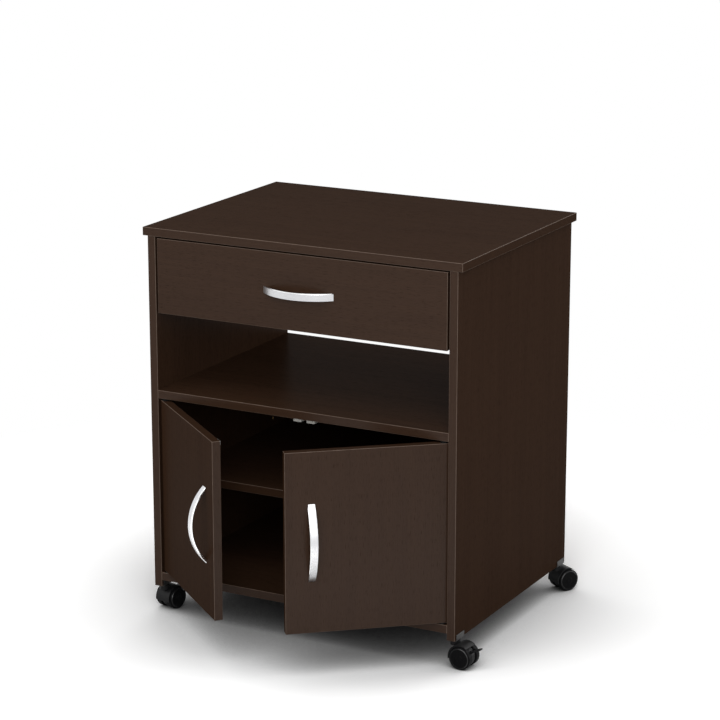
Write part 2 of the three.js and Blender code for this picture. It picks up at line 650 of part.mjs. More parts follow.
/** The double magnetic catch under the fixed shelf: a base plate and one head for each door. */
function doubleCatch() {
  const front = BOARD + STRIKE_THICKNESS + CATCH_PLAY;
  const near = DOOR_FREE_X + STRIKE_FROM_EDGE;
  const half = near + STRIKE_WIDTH + CATCH_BASE_MARGIN;
  const under = FIXED_SHELF_UNDERSIDE;
  const base = boxSolid(
    [-half, front + CATCH_BASE_SETBACK, under - CATCH_BASE_THICKNESS],
    [half, front + CATCH_BASE_DEPTH, under],
  );
  const heads = SIDES.map(({ side }) => sidedBox(
    side,
    [near, near + STRIKE_WIDTH],
    [front, front + CATCH_HEAD_DEPTH],
    [under - CATCH_HEAD_HEIGHT, under],
  ));
  return piece('double_catch', joined([base, ...heads]), whitePlastic);
}

// ---------------------------------------------------------------- casters

/** A wheel turned about local Z, with its outer face toward +Z and its bore open below. */
function wheelGeometry() {
  const rim = WHEEL_RADIUS - WHEEL_ROUNDING;
  const top = WHEEL_WIDTH;
  const dish = top - WHEEL_FACE_RECESS;
  const inner = top - WHEEL_FACE_RECESS - WHEEL_FACE_THICKNESS;
  const profile = [
    [0, inner],
    [WHEEL_BORE_RADIUS, inner],
    [WHEEL_BORE_RADIUS, 0],
    [rim, 0],
    [WHEEL_RADIUS, WHEEL_ROUNDING],
    [WHEEL_RADIUS, top - WHEEL_ROUNDING],
    [rim, top],
    [rim - WHEEL_ROUNDING, top],
    [rim - 2 * WHEEL_ROUNDING, dish],
    [0, dish],
  ];
  const geometry = new THREE.LatheGeometry(profile.map(([r, z]) => new THREE.Vector2(r, z)), 28);
  geometry.rotateX(Math.PI / 2);
  return geometry;
}

/**
 * The moulded caster body. The swivel axis is the local Z axis, the wheels trail toward +X and
 * the axle runs along Y. The stem, the axle stubs and, on a braked one, a pin hole belong to it.
 */
function casterBody(braked) {
  const web = new THREE.Shape();
  web.absarc(CASTER_TRAIL, WHEEL_RADIUS, WEB_RADIUS, 0, 2 * Math.PI, false);
  const fenderInner = WHEEL_RADIUS + FENDER_PLAY;
  const fenderOuter = fenderInner + FENDER_THICKNESS;
  const fromAngle = THREE.MathUtils.degToRad(FENDER_START_ANGLE);
  const toAngle = THREE.MathUtils.degToRad(FENDER_END_ANGLE);
  const fender = new THREE.Shape();
  fender.absarc(CASTER_TRAIL, WHEEL_RADIUS, fenderOuter, fromAngle, toAngle, false);
  fender.absarc(CASTER_TRAIL, WHEEL_RADIUS, fenderInner, toAngle, fromAngle, true);
  const neck = new THREE.Shape();
  neck.moveTo(CASTER_TRAIL, WHEEL_RADIUS);
  neck.absarc(CASTER_TRAIL, WHEEL_RADIUS, fenderOuter, fromAngle, toAngle, false);
  neck.closePath();
  const half = CASTER_WEB / 2;
  const axleHalf = WHEEL_GAP / 2 + WHEEL_WIDTH - WHEEL_FACE_RECESS - WHEEL_FACE_THICKNESS - AXLE_END_PLAY;
  const parts = [
    alongY(web, -half, half, 10),
    alongY(neck, -half, half, 10),
    alongY(fender, -FENDER_WIDTH / 2, FENDER_WIDTH / 2, 10),
    cylinderSolid('z', BOSS_RADIUS, BOSS_HEIGHT, [0, 0, BOSS_TOP - BOSS_HEIGHT], 18),
    cylinderSolid('z', STEM_RADIUS, STEM_TOP - BOSS_TOP + OVERRUN, [0, 0, BOSS_TOP - OVERRUN], 16),
    cylinderSolid('y', AXLE_RADIUS, 2 * axleHalf, [CASTER_TRAIL, -axleHalf, WHEEL_RADIUS], 12),
  ];
  const body = joined(parts);
  if (!braked) {
    return body;
  }
  const pivot = pedalPivot();
  const radius = PEDAL_PIN_RADIUS + SWIVEL_PLAY;
  const length = CASTER_WEB + 2 * OVERRUN;
  return cut(body, [cylinderSolid('y', radius, length, [pivot.x, -length / 2, pivot.z], 12)]);
}

/** Where the brake pedal turns, in a caster's own frame. */
function pedalPivot() {
  const angle = THREE.MathUtils.degToRad(PEDAL_PIVOT_ANGLE);
  return {
    x: CASTER_TRAIL + PEDAL_PIVOT_REACH * Math.cos(angle),
    z: WHEEL_RADIUS + PEDAL_PIVOT_REACH * Math.sin(angle),
  };
}

/** The brake pedal: two cheeks beside the web, a pin through it and a tab that rises behind the wheels. */
function pedalSolid() {
  const pivot = pedalPivot();
  const tabLow = 2 * WHEEL_RADIUS - PEDAL_TAB_BELOW_WHEEL_TOP - PEDAL_TAB_THICKNESS / 2;
  const tabHigh = tabLow + PEDAL_TAB_THICKNESS;
  const tabStart = CASTER_TRAIL + WEB_RADIUS + PEDAL_TAB_PLAY;
  const tabEnd = CASTER_TRAIL + WHEEL_RADIUS + PEDAL_TAB_PAST_WHEEL;
  const cheekIn = CASTER_WEB / 2 + PEDAL_CHEEK_PLAY;
  const cheekOut = cheekIn + PEDAL_CHEEK;
  const arm = outline([
    [pivot.x, pivot.z - PEDAL_HUB_RADIUS],
    [tabStart + PEDAL_TAB_THICKNESS, tabLow],
    [tabStart + PEDAL_TAB_THICKNESS, tabHigh],
    [pivot.x, pivot.z + PEDAL_HUB_RADIUS],
  ]);
  const cheeks = [[-cheekOut, -cheekIn], [cheekIn, cheekOut]].map(([from, to]) => joined([
    alongY(arm, from, to),
    cylinderSolid('y', PEDAL_HUB_RADIUS, to - from, [pivot.x, from, pivot.z], 14),
  ]));
  const pin = cylinderSolid('y', PEDAL_PIN_RADIUS, 2 * cheekOut, [pivot.x, -cheekOut, pivot.z], 12);
  const tab = alongY(outline([
    [tabStart, tabLow],
    [tabEnd, tabLow + PEDAL_TAB_RISE],
    [tabEnd, tabHigh + PEDAL_TAB_RISE],
    [tabStart, tabHigh],
  ]), -cheekOut, cheekOut);
  return joined([...cheeks, pin, tab]);
}

/** One of a caster's two wheels: 'inner' lies on the +Y side of the caster's own frame. */
function casterWheel(caster, which) {
  const direction = which === 'inner' ? 1 : -1;
  const wheel = piece(`caster_${caster}_wheel_${which}`, solid(wheelGeometry()), treadPlastic);
  wheel.rotation.x = -direction * Math.PI / 2;
  wheel.position.set(CASTER_TRAIL, direction * WHEEL_GAP / 2, WHEEL_RADIUS);
  return wheel;
}

/** A whole caster below its bracket, turned about its stem. */
function caster({ name, side, atFront, trailAngle }) {
  const group = new THREE.Group();
  group.add(piece(`caster_${name}_body`, casterBody(atFront), blackPlastic));
  group.add(casterWheel(name, 'inner'), casterWheel(name, 'outer'));
  if (atFront) {
    group.add(piece(`caster_${name}_brake_pedal`, pedalSolid(), blackPlastic));
  }
  group.position.set(side * PANEL_CENTRE_X, atFront ? CASTER_Y.front : CASTER_Y.back, 0);
  group.rotation.z = THREE.MathUtils.degToRad(trailAngle);
  return group;
}

/** The U-shaped steel plate that grips the panel's lower edge round a caster stem. */
function casterBracket({ name, side, atFront }) {
  const y = atFront ? CASTER_Y.front : CASTER_Y.back;
  const along = [y - BRACKET_LENGTH / 2, y + BRACKET_LENGTH / 2];
  const upTo = SIDE_BOTTOM + BRACKET_FLANGE_HEIGHT;
  const inside = HALF_INSIDE - BRACKET_SHEET;
  const outside = HALF_WIDTH + BRACKET_SHEET;
  const whole = sidedBox(side, [inside, outside], along, [BRACKET_UNDERSIDE, upTo]);
  const room = sidedBox(
    side,
    [HALF_INSIDE, HALF_WIDTH],
    [along[0] - OVERRUN, along[1] + OVERRUN],
    [SIDE_BOTTOM, upTo + OVERRUN],
  );
  const x = side * PANEL_CENTRE_X;
  const through = BRACKET_SHEET + 2 * OVERRUN;
  const hole = cylinderSolid('z', STEM_SOCKET_RADIUS, through, [x, y, BRACKET_UNDERSIDE - OVERRUN], 16);
  return piece(`caster_bracket_${name}`, cut(whole, [room, hole]), darkSteel);
}

// ---------------------------------------------------------------- assembly

const cart = new THREE.Group();

cart.add(topPanel(), bottomPanel(), fixedShelf(), adjustableShelf(), lowerBackPanel(), backRail());
cart.add(drawerFront(), drawerBack(), drawerBottom(), drawerHandle(), doubleCatch());

for (const which of SIDES) {
  cart.add(sidePanel(which));
  cart.add(shelfPin(which, 'front', PIN_ROW_Y[0]), shelfPin(which, 'back', PIN_ROW_Y[1]));
  cart.add(drawerSide(which), drawerRunner(which), cabinetRunner(which));
  cart.add(runnerRoller('cabinet', which, CABINET_ROLLER_Y));
  cart.add(runnerRoller('drawer', which, DRAWER_ROLLER_Y));
  cart.add(hingePin(which, 'bottom'), hingePin(which, 'top'));
  cart.add(door(which));
}

for (const place of CASTERS) {
  cart.add(casterBracket(place), caster(place));
}

// The origin lies on the floor, under the middle of the cart's outline as it stands.
const outlineBox = new THREE.Box3().setFromObject(cart, true);
const middle = outlineBox.getCenter(new THREE.Vector3());
cart.position.set(-middle.x, -middle.y, -outlineBox.min.z);

const assembly = new THREE.Group();
assembly.add(cart);
assembly.updateMatrixWorld(true);

export default assembly;
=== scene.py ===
"""A dark laminate microwave cart on twin-wheel casters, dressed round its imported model.

Sizes are millimetres in the cart's own frame, unless a name says otherwise: x runs to the right
from the middle plane, y to the back from the front edges, and z up from the floor.
"""

import json
import logging
import math
from abc import ABC, abstractmethod
from contextlib import contextmanager
from dataclasses import dataclass
from enum import Enum
from functools import partial
from typing import Any, Callable, Iterator, Sequence

import bmesh
import bpy
from mathutils import Matrix, Vector


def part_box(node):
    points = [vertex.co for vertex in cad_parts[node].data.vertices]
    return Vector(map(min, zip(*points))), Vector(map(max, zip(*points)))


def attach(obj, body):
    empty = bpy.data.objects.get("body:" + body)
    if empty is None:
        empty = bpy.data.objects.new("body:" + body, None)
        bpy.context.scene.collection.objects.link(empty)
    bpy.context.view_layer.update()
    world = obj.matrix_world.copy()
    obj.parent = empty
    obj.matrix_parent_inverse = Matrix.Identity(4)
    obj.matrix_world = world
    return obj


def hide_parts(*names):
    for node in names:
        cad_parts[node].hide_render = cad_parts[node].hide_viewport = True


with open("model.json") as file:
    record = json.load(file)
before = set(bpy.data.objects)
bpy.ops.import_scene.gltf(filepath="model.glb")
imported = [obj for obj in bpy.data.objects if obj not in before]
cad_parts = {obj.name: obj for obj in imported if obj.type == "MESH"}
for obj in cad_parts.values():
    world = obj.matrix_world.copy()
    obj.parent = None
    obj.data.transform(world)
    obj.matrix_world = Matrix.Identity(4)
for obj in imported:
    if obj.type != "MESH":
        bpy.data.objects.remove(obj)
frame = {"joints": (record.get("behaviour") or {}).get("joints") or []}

LOG = logging.getLogger("microwave_cart")

MILLIMETRE = 0.001
SIDES = ("left", "right")
# Points closer than this are one, and a face whose normal has this much of an axis is square to it.
WELD, SQUARE = 1e-4, 0.9999
# How much a large face bends the shading of the eased edges beside it, of 100.
NORMAL_WEIGHT = 60
# From one piece's own place to the next one's, in metres, so that no two show the same grain.
GRAIN_STEP = Vector((0.71, 0.37, 0.53))
# The names of the pieces' attributes.
PLACE = "own_place"
EDGE = "edge_mask"
FACING = "facing"

Node, Socket, Thing = bpy.types.Node, bpy.types.NodeSocket, bpy.types.Object
Sockets = dict[str, Any]
Point = tuple[float, float]
Triple = tuple[float, float, float]
Colour = tuple[float, float, float, float]
NOWHERE: Triple = (0.0, 0.0, 0.0)


class Axis(Enum):
    """A main direction of the cart."""

    X = 0
    Y = 1
    Z = 2

    def vector(self) -> Vector:
        """The direction as a unit vector."""
        return Vector([1.0 if i == self.value else 0.0 for i in range(3)])

    def turn(self) -> Matrix:
        """The turn that lays a solid made about Z along this direction.

        Returns:
            The turn.
        """
        if self is Axis.X:
            return Matrix.Rotation(math.pi / 2, 4, "Y")
        if self is Axis.Y:
            return Matrix.Rotation(-math.pi / 2, 4, "X")
        return Matrix.Identity(4)


class Slot(Enum):
    """The record's material slots."""

    LAMINATE = "laminate"
    HARDBOARD = "hardboard"
    NICKEL = "satin_nickel"
    ZINC = "zinc_steel"
    DARK = "dark_steel"
    ENAMEL = "enamel_steel"
    BLACK = "black_plastic"
    WHEEL = "wheel_plastic"
    WHITE = "white_plastic"


# ---------------------------------------------------------------- nodes


class NodeBench:
    """Adds the nodes of one shader or geometry tree and joins them."""

    def __init__(self, tree: bpy.types.NodeTree) -> None:
        """Takes the tree to work on."""
        self.tree = tree

    def feed(self, socket: Socket, value: Any) -> None:
        """Joins a socket to another one, or gives it a plain value.

        Args:
            socket: the input to fill.
            value: an output socket, or a number, colour or vector.
        """
        if isinstance(value, Socket):
            self.tree.links.new(value, socket)
        else:
            socket.default_value = value

    def add(self, kind: str, inputs: dict[Any, Any] | None = None, **settings: Any) -> Node:
        """Adds a node.

        Args:
            kind: the node's type.
            inputs: input name or number to value or output socket.
            **settings: the node's own properties.

        Returns:
            The node.
        """
        node = self.tree.nodes.new(kind)
        for name, value in settings.items():
            setattr(node, name, value)
        for name, value in (inputs or {}).items():
            self.feed(node.inputs[name], value)
        return node

    def math(self, operation: str, a: Any, b: Any = 0.0) -> Socket:
        """The result of one step of arithmetic on two numbers or sockets."""
        return self.add("ShaderNodeMath", {0: a, 1: b}, operation=operation).outputs[0]

    def times(self, a: Any, b: Any) -> Socket:
        """The product of two numbers or sockets."""
        return self.math("MULTIPLY", a, b)

    def spread(self, value: Any, low: float, high: float, to_low: float, to_high: float) -> Socket:
        """A value mapped from the range low to high onto another range, and held there."""
        inputs = {0: value, 1: low, 2: high, 3: to_low, 4: to_high}
        return self.add("ShaderNodeMapRange", inputs).outputs[0]

    def blend(self, amount: Any, a: Any, b: Any, how: str = "MIX") -> Socket:
        """The mix of two colours, by the share of the second one."""
        node = self.add("ShaderNodeMix", {0: amount, 6: a, 7: b}, data_type="RGBA", blend_type=how)
        return node.outputs[2]

    def noise(self, place: Any, scale: Triple, detail: float = 2.0, roughness: float = 0.5) -> Socket:
        """Noise read at a place in metres, with its own waves per metre along each axis.

        Args:
            place: where the noise is read, a socket or a vector.
            scale: waves per metre along each axis.
            detail: how many finer waves are added.
            roughness: how strong the finer waves are.

        Returns:
            The noise's value, about 0 to 1.
        """
        stretched = self.add("ShaderNodeVectorMath", {0: place, 1: scale}, operation="MULTIPLY").outputs[0]
        inputs = {"Vector": stretched, "Scale": 1.0, "Detail": detail, "Roughness": roughness}
        return self.add("ShaderNodeTexNoise", inputs).outputs[0]

    def scatter(self, points: Socket, thing: Socket, rotation: Any = NOWHERE) -> Socket:
        """A thing set on each point, turned."""
        inputs = {"Points": points, "Instance": thing, "Rotation": rotation}
        return self.add("GeometryNodeInstanceOnPoints", inputs).outputs[0]

    def attribute(self, name: str) -> Node:
        """Reads one of the piece's own attributes in a shader."""
        return self.add("ShaderNodeAttribute", attribute_name=name, attribute_type="GEOMETRY")


FLOAT, VECTOR, COLOUR, WHOLE = "NodeSocketFloat", "NodeSocketVector", "NodeSocketColor", "NodeSocketInt"
SHAPE, THING, SURFACE = "NodeSocketGeometry", "NodeSocketObject", "NodeSocketMaterial"
BLACK: Colour = (0.0, 0.0, 0.0, 1.0)


class NodeGroup(ABC):
    """A node group with named inputs, built at its first use.

    Attributes:
        name: the group's name.
        kind: its kind of tree.
        inputs: input name to socket type and starting value, or None for the type's own.
        outputs: output name to socket type.
    """

    name: str = ""
    kind: str = "ShaderNodeTree"
    inputs: dict[str, tuple[str, Any]] = {}
    outputs: dict[str, str] = {}

    @abstractmethod
    def wire(self, bench: NodeBench, given: Sockets) -> Sockets:
        """Joins the group's nodes.

        Args:
            bench: the group's bench.
            given: input name to socket.

        Returns:
            Output name to the socket that feeds it.
        """

    def tree(self) -> bpy.types.NodeTree:
        """The group's tree, made at its first use.

        Returns:
            The group's tree.
        """
        found = bpy.data.node_groups.get(self.name)
        if found:
            return found
        tree = bpy.data.node_groups.new(self.name, self.kind)
        for name, (kind, value) in self.inputs.items():
            socket = tree.interface.new_socket(name=name, in_out="INPUT", socket_type=kind)
            if value is not None:
                socket.default_value = value
        for name, kind in self.outputs.items():
            tree.interface.new_socket(name=name, in_out="OUTPUT", socket_type=kind)
        bench = NodeBench(tree)
        start = bench.add("NodeGroupInput")
        bench.add("NodeGroupOutput", self.wire(bench, {name: start.outputs[name] for name in self.inputs}))
        return tree


class SharedEffect(NodeGroup):
    """A shader node group that several finishes use."""

    def place(self, bench: NodeBench, inputs: Sockets) -> Node:
        """Puts the group into a finish, with its inputs' values or sockets.

        Args:
            bench: the finish's bench.
            inputs: input name to value or socket.

        Returns:
            The group's node.
        """
        node = bench.add("ShaderNodeGroup", node_tree=self.tree())
        for name, value in inputs.items():
            bench.feed(node.inputs[name], value)
        return node


class WoodGrain(SharedEffect):
    """Printed wood grain that runs along the first axis of the piece's own place."""

    name = "wood_grain"
    inputs = {"Place": (VECTOR, NOWHERE), "Light": (COLOUR, BLACK), "Dark": (COLOUR, BLACK), "Pores": (FLOAT, 0.5)}
    outputs = {"Color": COLOUR, "Height": FLOAT, "Gloss": FLOAT}

    def wire(self, bench: NodeBench, given: Sockets) -> Sockets:
        """Light and dark streaks, and fine dark pores that are sunk and duller.

        Args:
            bench: the group's bench.
            given: input name to socket.

        Returns:
            Output name to the socket that feeds it.
        """
        place = given["Place"]
        fine = bench.noise(place, (5.0, 420.0, 420.0), 3.0, 0.6)
        broad = bench.noise(place, (1.6, 42.0, 42.0), 2.0, 0.5)
        pores = bench.noise(place, (70.0, 1500.0, 1500.0), 1.0, 0.5)
        figure = bench.math("ADD", bench.times(fine, 0.6), bench.times(broad, 0.4))
        streak = bench.spread(figure, 0.34, 0.66, 0.0, 1.0)
        pore = bench.spread(pores, 0.60, 0.72, 0.0, 1.0)
        light = bench.blend(streak, given["Dark"], given["Light"])
        toned = bench.blend(bench.times(pore, given["Pores"]), light, given["Dark"], "MULTIPLY")
        height = bench.math("SUBTRACT", bench.times(streak, 0.35), pore)
        gloss = bench.math("SUBTRACT", 1.0, bench.times(pore, 0.5))
        return {"Color": toned, "Height": height, "Gloss": gloss}


class EdgeHighlight(SharedEffect):
    """Paints eased edges lighter, in patches, as a highlight where light catches them."""

    name = "painted_edge_highlight"
    inputs = {"Place": (VECTOR, NOWHERE), "Color": (COLOUR, BLACK), "Highlight": (COLOUR, BLACK), "Amount": (FLOAT, 0.5)}
    outputs = {"Color": COLOUR, "Mask": FLOAT}

    def wire(self, bench: NodeBench, given: Sockets) -> Sockets:
        """The edge mask in patches.

        Args:
            bench: the group's bench.
            given: input name to socket.

        Returns:
            Output name to the socket that feeds it.
        """
        edge = bench.attribute(EDGE).outputs["Fac"]
        patchy = bench.noise(given["Place"], (60.0, 60.0, 60.0), 2.0, 0.6)
        share = bench.times(edge, bench.spread(patchy, 0.3, 0.7, 0.65, 1.0))
        mask = bench.times(share, given["Amount"])
        return {"Color": bench.blend(mask, given["Color"], given["Highlight"]), "Mask": mask}


class DustFilm(SharedEffect):
    """A thin film of dust on faces that look up."""

    name = "dust_film"
    inputs = {"Place": (VECTOR, NOWHERE), "Color": (COLOUR, BLACK), "Dust": (COLOUR, BLACK), "Amount": (FLOAT, 0.1)}
    outputs = {"Color": COLOUR, "Mask": FLOAT}

    def wire(self, bench: NodeBench, given: Sockets) -> Sockets:
        """Cloudy where the normal points up.

        Args:
            bench: the group's bench.
            given: input name to socket.

        Returns:
            Output name to the socket that feeds it.
        """
        normal = bench.add("ShaderNodeNewGeometry").outputs["Normal"]
        upward = bench.add("ShaderNodeSeparateXYZ", {0: normal}).outputs["Z"]
        patchy = bench.noise(given["Place"], (26.0, 26.0, 26.0), 4.0, 0.65)
        level = bench.spread(upward, 0.5, 1.0, 0.0, 1.0)
        lying = bench.times(level, bench.spread(patchy, 0.35, 0.75, 0.2, 1.0))
        mask = bench.times(lying, given["Amount"])
        return {"Color": bench.blend(mask, given["Color"], given["Dust"]), "Mask": mask}


class Brushing(SharedEffect):
    """Fine brushing lines along the first axis of the piece's own place."""

    name = "brushing"
    inputs = {"Place": (VECTOR, NOWHERE)}
    outputs = {"Height": FLOAT, "Tone": FLOAT}

    def wire(self, bench: NodeBench, given: Sockets) -> Sockets:
        """Fine lines over broader ones.

        Args:
            bench: the group's bench.
            given: input name to socket.

        Returns:
            Output name to the socket that feeds it.
        """
        fine = bench.noise(given["Place"], (22.0, 5200.0, 5200.0), 3.0, 0.7)
        broad = bench.noise(given["Place"], (9.0, 900.0, 900.0), 2.0, 0.5)
        height = bench.math("ADD", bench.times(fine, 0.7), bench.times(broad, 0.3))
        return {"Height": height, "Tone": bench.spread(height, 0.35, 0.65, 0.0, 1.0)}


class SurfaceSkin(SharedEffect):
    """The fine spark-eroded skin of a moulding or a plated or enamelled sheet."""

    name = "surface_skin"
    inputs = {"Place": (VECTOR, NOWHERE), "Grain": (FLOAT, 900.0)}
    outputs = {"Height": FLOAT, "Tone": FLOAT}

    def wire(self, bench: NodeBench, given: Sockets) -> Sockets:
        """A fine pebbled relief and a broad clouding of the tone.

        Args:
            bench: the group's bench.
            given: input name to socket.

        Returns:
            Output name to the socket that feeds it.
        """
        inputs = {0: given["Place"], "Scale": given["Grain"]}
        stretched = bench.add("ShaderNodeVectorMath", inputs, operation="SCALE")
        inputs = {"Vector": stretched.outputs[0], "Scale": 1.0, "Detail": 2.0, "Roughness": 0.6}
        fine = bench.add("ShaderNodeTexNoise", inputs).outputs[0]
        cloud = bench.noise(given["Place"], (45.0, 45.0, 45.0), 3.0, 0.6)
        return {"Height": fine, "Tone": bench.spread(cloud, 0.3, 0.7, 0.0, 1.0)}


# ---------------------------------------------------------------- finishes


def tone(red: int, green: int, blue: int) -> Colour:
    """A screen colour, 0 to 255 a channel, as a linear colour.

    Args:
        red: the red channel.
        green: the green channel.
        blue: the blue channel.

    Returns:
        The colour, with an alpha of 1.
    """
    shares = [value / 255.0 for value in (red, green, blue)]
    linear = [s / 12.92 if s <= 0.04045 else ((s + 0.055) / 1.055) ** 2.4 for s in shares]
    return (linear[0], linear[1], linear[2], 1.0)


def emptied(owner: Any) -> NodeBench:
    """A bench on the node tree of a material or a world, emptied first.

    Args:
        owner: the material or world.

    Returns:
        The bench.
    """
    owner.use_nodes = True
    owner.node_tree.nodes.clear()
    return NodeBench(owner.node_tree)


@dataclass(frozen=True)
class Finish(ABC):
    """How one surface looks.

    Attributes:
        name: the material's name.
        roughness: roughness at the middle of its range.
        specular: how much it reflects straight on.
    """

    name: str
    roughness: float = 0.5
    specular: float = 0.5

    def material(self) -> bpy.types.Material:
        """The finish as a material, made at its first use.

        Returns:
            The material.
        """
        found = bpy.data.materials.get(self.name)
        if found:
            return found
        made = bpy.data.materials.new(self.name)
        bench = emptied(made)
        shader = bench.add("ShaderNodeBsdfPrincipled")
        bench.add("ShaderNodeOutputMaterial", {"Surface": shader.outputs[0]})
        shader.inputs["Specular IOR Level"].default_value = self.specular
        self.dress(bench, shader, bench.attribute(PLACE).outputs["Vector"])
        return made

    def bump(self, bench: NodeBench, shader: Node, height: Any, depth: float) -> None:
        """Gives the surface a fine relief, of a height from 0 to 1 and a depth in millimetres."""
        inputs = {"Height": height, "Distance": depth * MILLIMETRE, "Strength": 1.0}
        bench.feed(shader.inputs["Normal"], bench.add("ShaderNodeBump", inputs).outputs[0])

    @abstractmethod
    def dress(self, bench: NodeBench, shader: Node, place: Socket) -> None:
        """Joins the finish's nodes, given its bench and its shader."""


@dataclass(frozen=True)
class LaminateFinish(Finish):
    """Dark wood print under a satin film, as on the boards' faces and their edge band.

    Attributes:
        light, dark: colours of the streaks.
        highlight_tone, edge_highlight: colour of the painted highlight on the eased edges, and how strongly it is
            painted.
        pores: how strongly the pores show.
        coat: how much the film shines, seen straight on.
        dust: how dusty faces that look up are.
    """

    light: Colour = BLACK
    dark: Colour = BLACK
    # The eased edges are painted lighter in this colour, as a highlight.
    highlight_tone: Colour = BLACK
    edge_highlight: float = 0.6
    pores: float = 0.5
    coat: float = 0.31
    dust: float = 0.004

    def dress(self, bench: NodeBench, shader: Node, place: Socket) -> None:
        """Grain, then a painted highlight on the eased edges, then a little dust.

        Args:
            bench: the material's bench.
            shader: its principled shader.
            place: the socket with the grain's place, in metres.
        """
        grain = WoodGrain().place(
            bench, {"Place": place, "Light": self.light, "Dark": self.dark, "Pores": self.pores}
        )
        # Painted highlight: the eased edges are lightened, and also given a little more coat below.
        edge_highlight = EdgeHighlight().place(
            bench, {"Place": place, "Color": grain.outputs["Color"], "Highlight": self.highlight_tone, "Amount": self.edge_highlight}
        )
        dust = DustFilm().place(
            bench,
            {"Place": place, "Color": edge_highlight.outputs["Color"], "Dust": tone(150, 140, 130), "Amount": self.dust},
        )
        bench.feed(shader.inputs["Base Color"], dust.outputs["Color"])
        rough = bench.spread(grain.outputs["Gloss"], 0.5, 1.0, self.roughness + 0.12, self.roughness)
        bench.feed(shader.inputs["Roughness"], bench.math("ADD", rough, dust.outputs["Mask"]))
        facing = bench.add("ShaderNodeLayerWeight", {"Blend": 0.5}).outputs["Facing"]
        film = bench.spread(facing, 0.12, 0.58, self.coat, self.coat * 0.12)
        gloss = bench.times(grain.outputs["Gloss"], film)
        edge = bench.times(edge_highlight.outputs["Mask"], 0.25)
        bench.feed(shader.inputs["Coat Weight"], bench.math("ADD", gloss, edge))
        shader.inputs["Coat Roughness"].default_value = 0.3
        self.bump(bench, shader, grain.outputs["Height"], 0.02)


@dataclass(frozen=True)
class FibreFinish(Finish):
    """Pressed wood: hardboard's fibres, or the coarse chips inside a board.

    Attributes:
        light, dark: colours of the fibres.
        chip: size of a chip in millimetres.
    """

    light: Colour = BLACK
    dark: Colour = BLACK
    chip: float = 1.0

    def dress(self, bench: NodeBench, shader: Node, place: Socket) -> None:
        """Flakes of several tones with a fuzzy relief.

        Args:
            bench: the material's bench.
            shader: its principled shader.
            place: the socket with the grain's place, in metres.
        """
        inputs = {"Vector": place, "Scale": 1.0 / (self.chip * MILLIMETRE), "Randomness": 1.0}
        flakes = bench.add("ShaderNodeTexVoronoi", inputs, distance="CHEBYCHEV")
        fuzz = bench.noise(place, (900.0, 900.0, 900.0), 3.0, 0.7)
        flake = bench.add("ShaderNodeSeparateColor", {0: flakes.outputs["Color"]}).outputs[0]
        share = bench.math("ADD", bench.times(flake, 0.55), bench.times(fuzz, 0.45))
        bench.feed(shader.inputs["Base Color"], bench.blend(share, self.dark, self.light))
        bench.feed(shader.inputs["Roughness"], bench.spread(fuzz, 0.3, 0.7, self.roughness, 1.0))
        self.bump(bench, shader, share, 0.12)


@dataclass(frozen=True)
class MetalFinish(Finish):
    """Brushed or plated metal.

    Attributes:
        base, shade: the metal's colour, and the same in its brushing lines.
        brushed: whether it is brushed along its length.
        polished_highlit_edges, polish_highlight: whether its eased edges are polished and painted lighter as a
            highlight, and their colour.
        metallic: 1 for bare metal.
        depth: depth of the relief in millimetres.
        anisotropic: how far the brushing stretches highlights.
    """

    base: Colour = BLACK
    shade: Colour = BLACK
    brushed: bool = False
    polished_highlit_edges: bool = False
    metallic: float = 1.0
    depth: float = 0.01
    anisotropic: float = 0.0
    # The lighter colour painted on the polished edges, as a highlight.
    polish_highlight: Colour = tone(252, 252, 252)

    def dress(self, bench: NodeBench, shader: Node, place: Socket) -> None:
        """Lines or mottling in the colour, the roughness and the relief.

        Args:
            bench: the material's bench.
            shader: its principled shader.
            place: the socket with the grain's place, in metres.
        """
        if self.brushed:
            relief = Brushing().place(bench, {"Place": place})
        else:
            relief = SurfaceSkin().place(bench, {"Place": place, "Grain": 700.0})
        colour = bench.blend(relief.outputs["Tone"], self.shade, self.base)
        rough = bench.spread(relief.outputs["Tone"], 0.0, 1.0, self.roughness + 0.08, self.roughness)
        # Painted highlight: the polished edges are lightened, and are also made smoother.
        if self.polished_highlit_edges:
            edge = bench.attribute(EDGE).outputs["Fac"]
            colour = bench.blend(edge, colour, self.polish_highlight)
            rough = bench.math("SUBTRACT", rough, bench.times(edge, self.roughness * 0.6))
        bench.feed(shader.inputs["Base Color"], colour)
        bench.feed(shader.inputs["Roughness"], rough)
        shader.inputs["Metallic"].default_value = self.metallic
        shader.inputs["Anisotropic"].default_value = self.anisotropic
        self.bump(bench, shader, relief.outputs["Height"], self.depth)


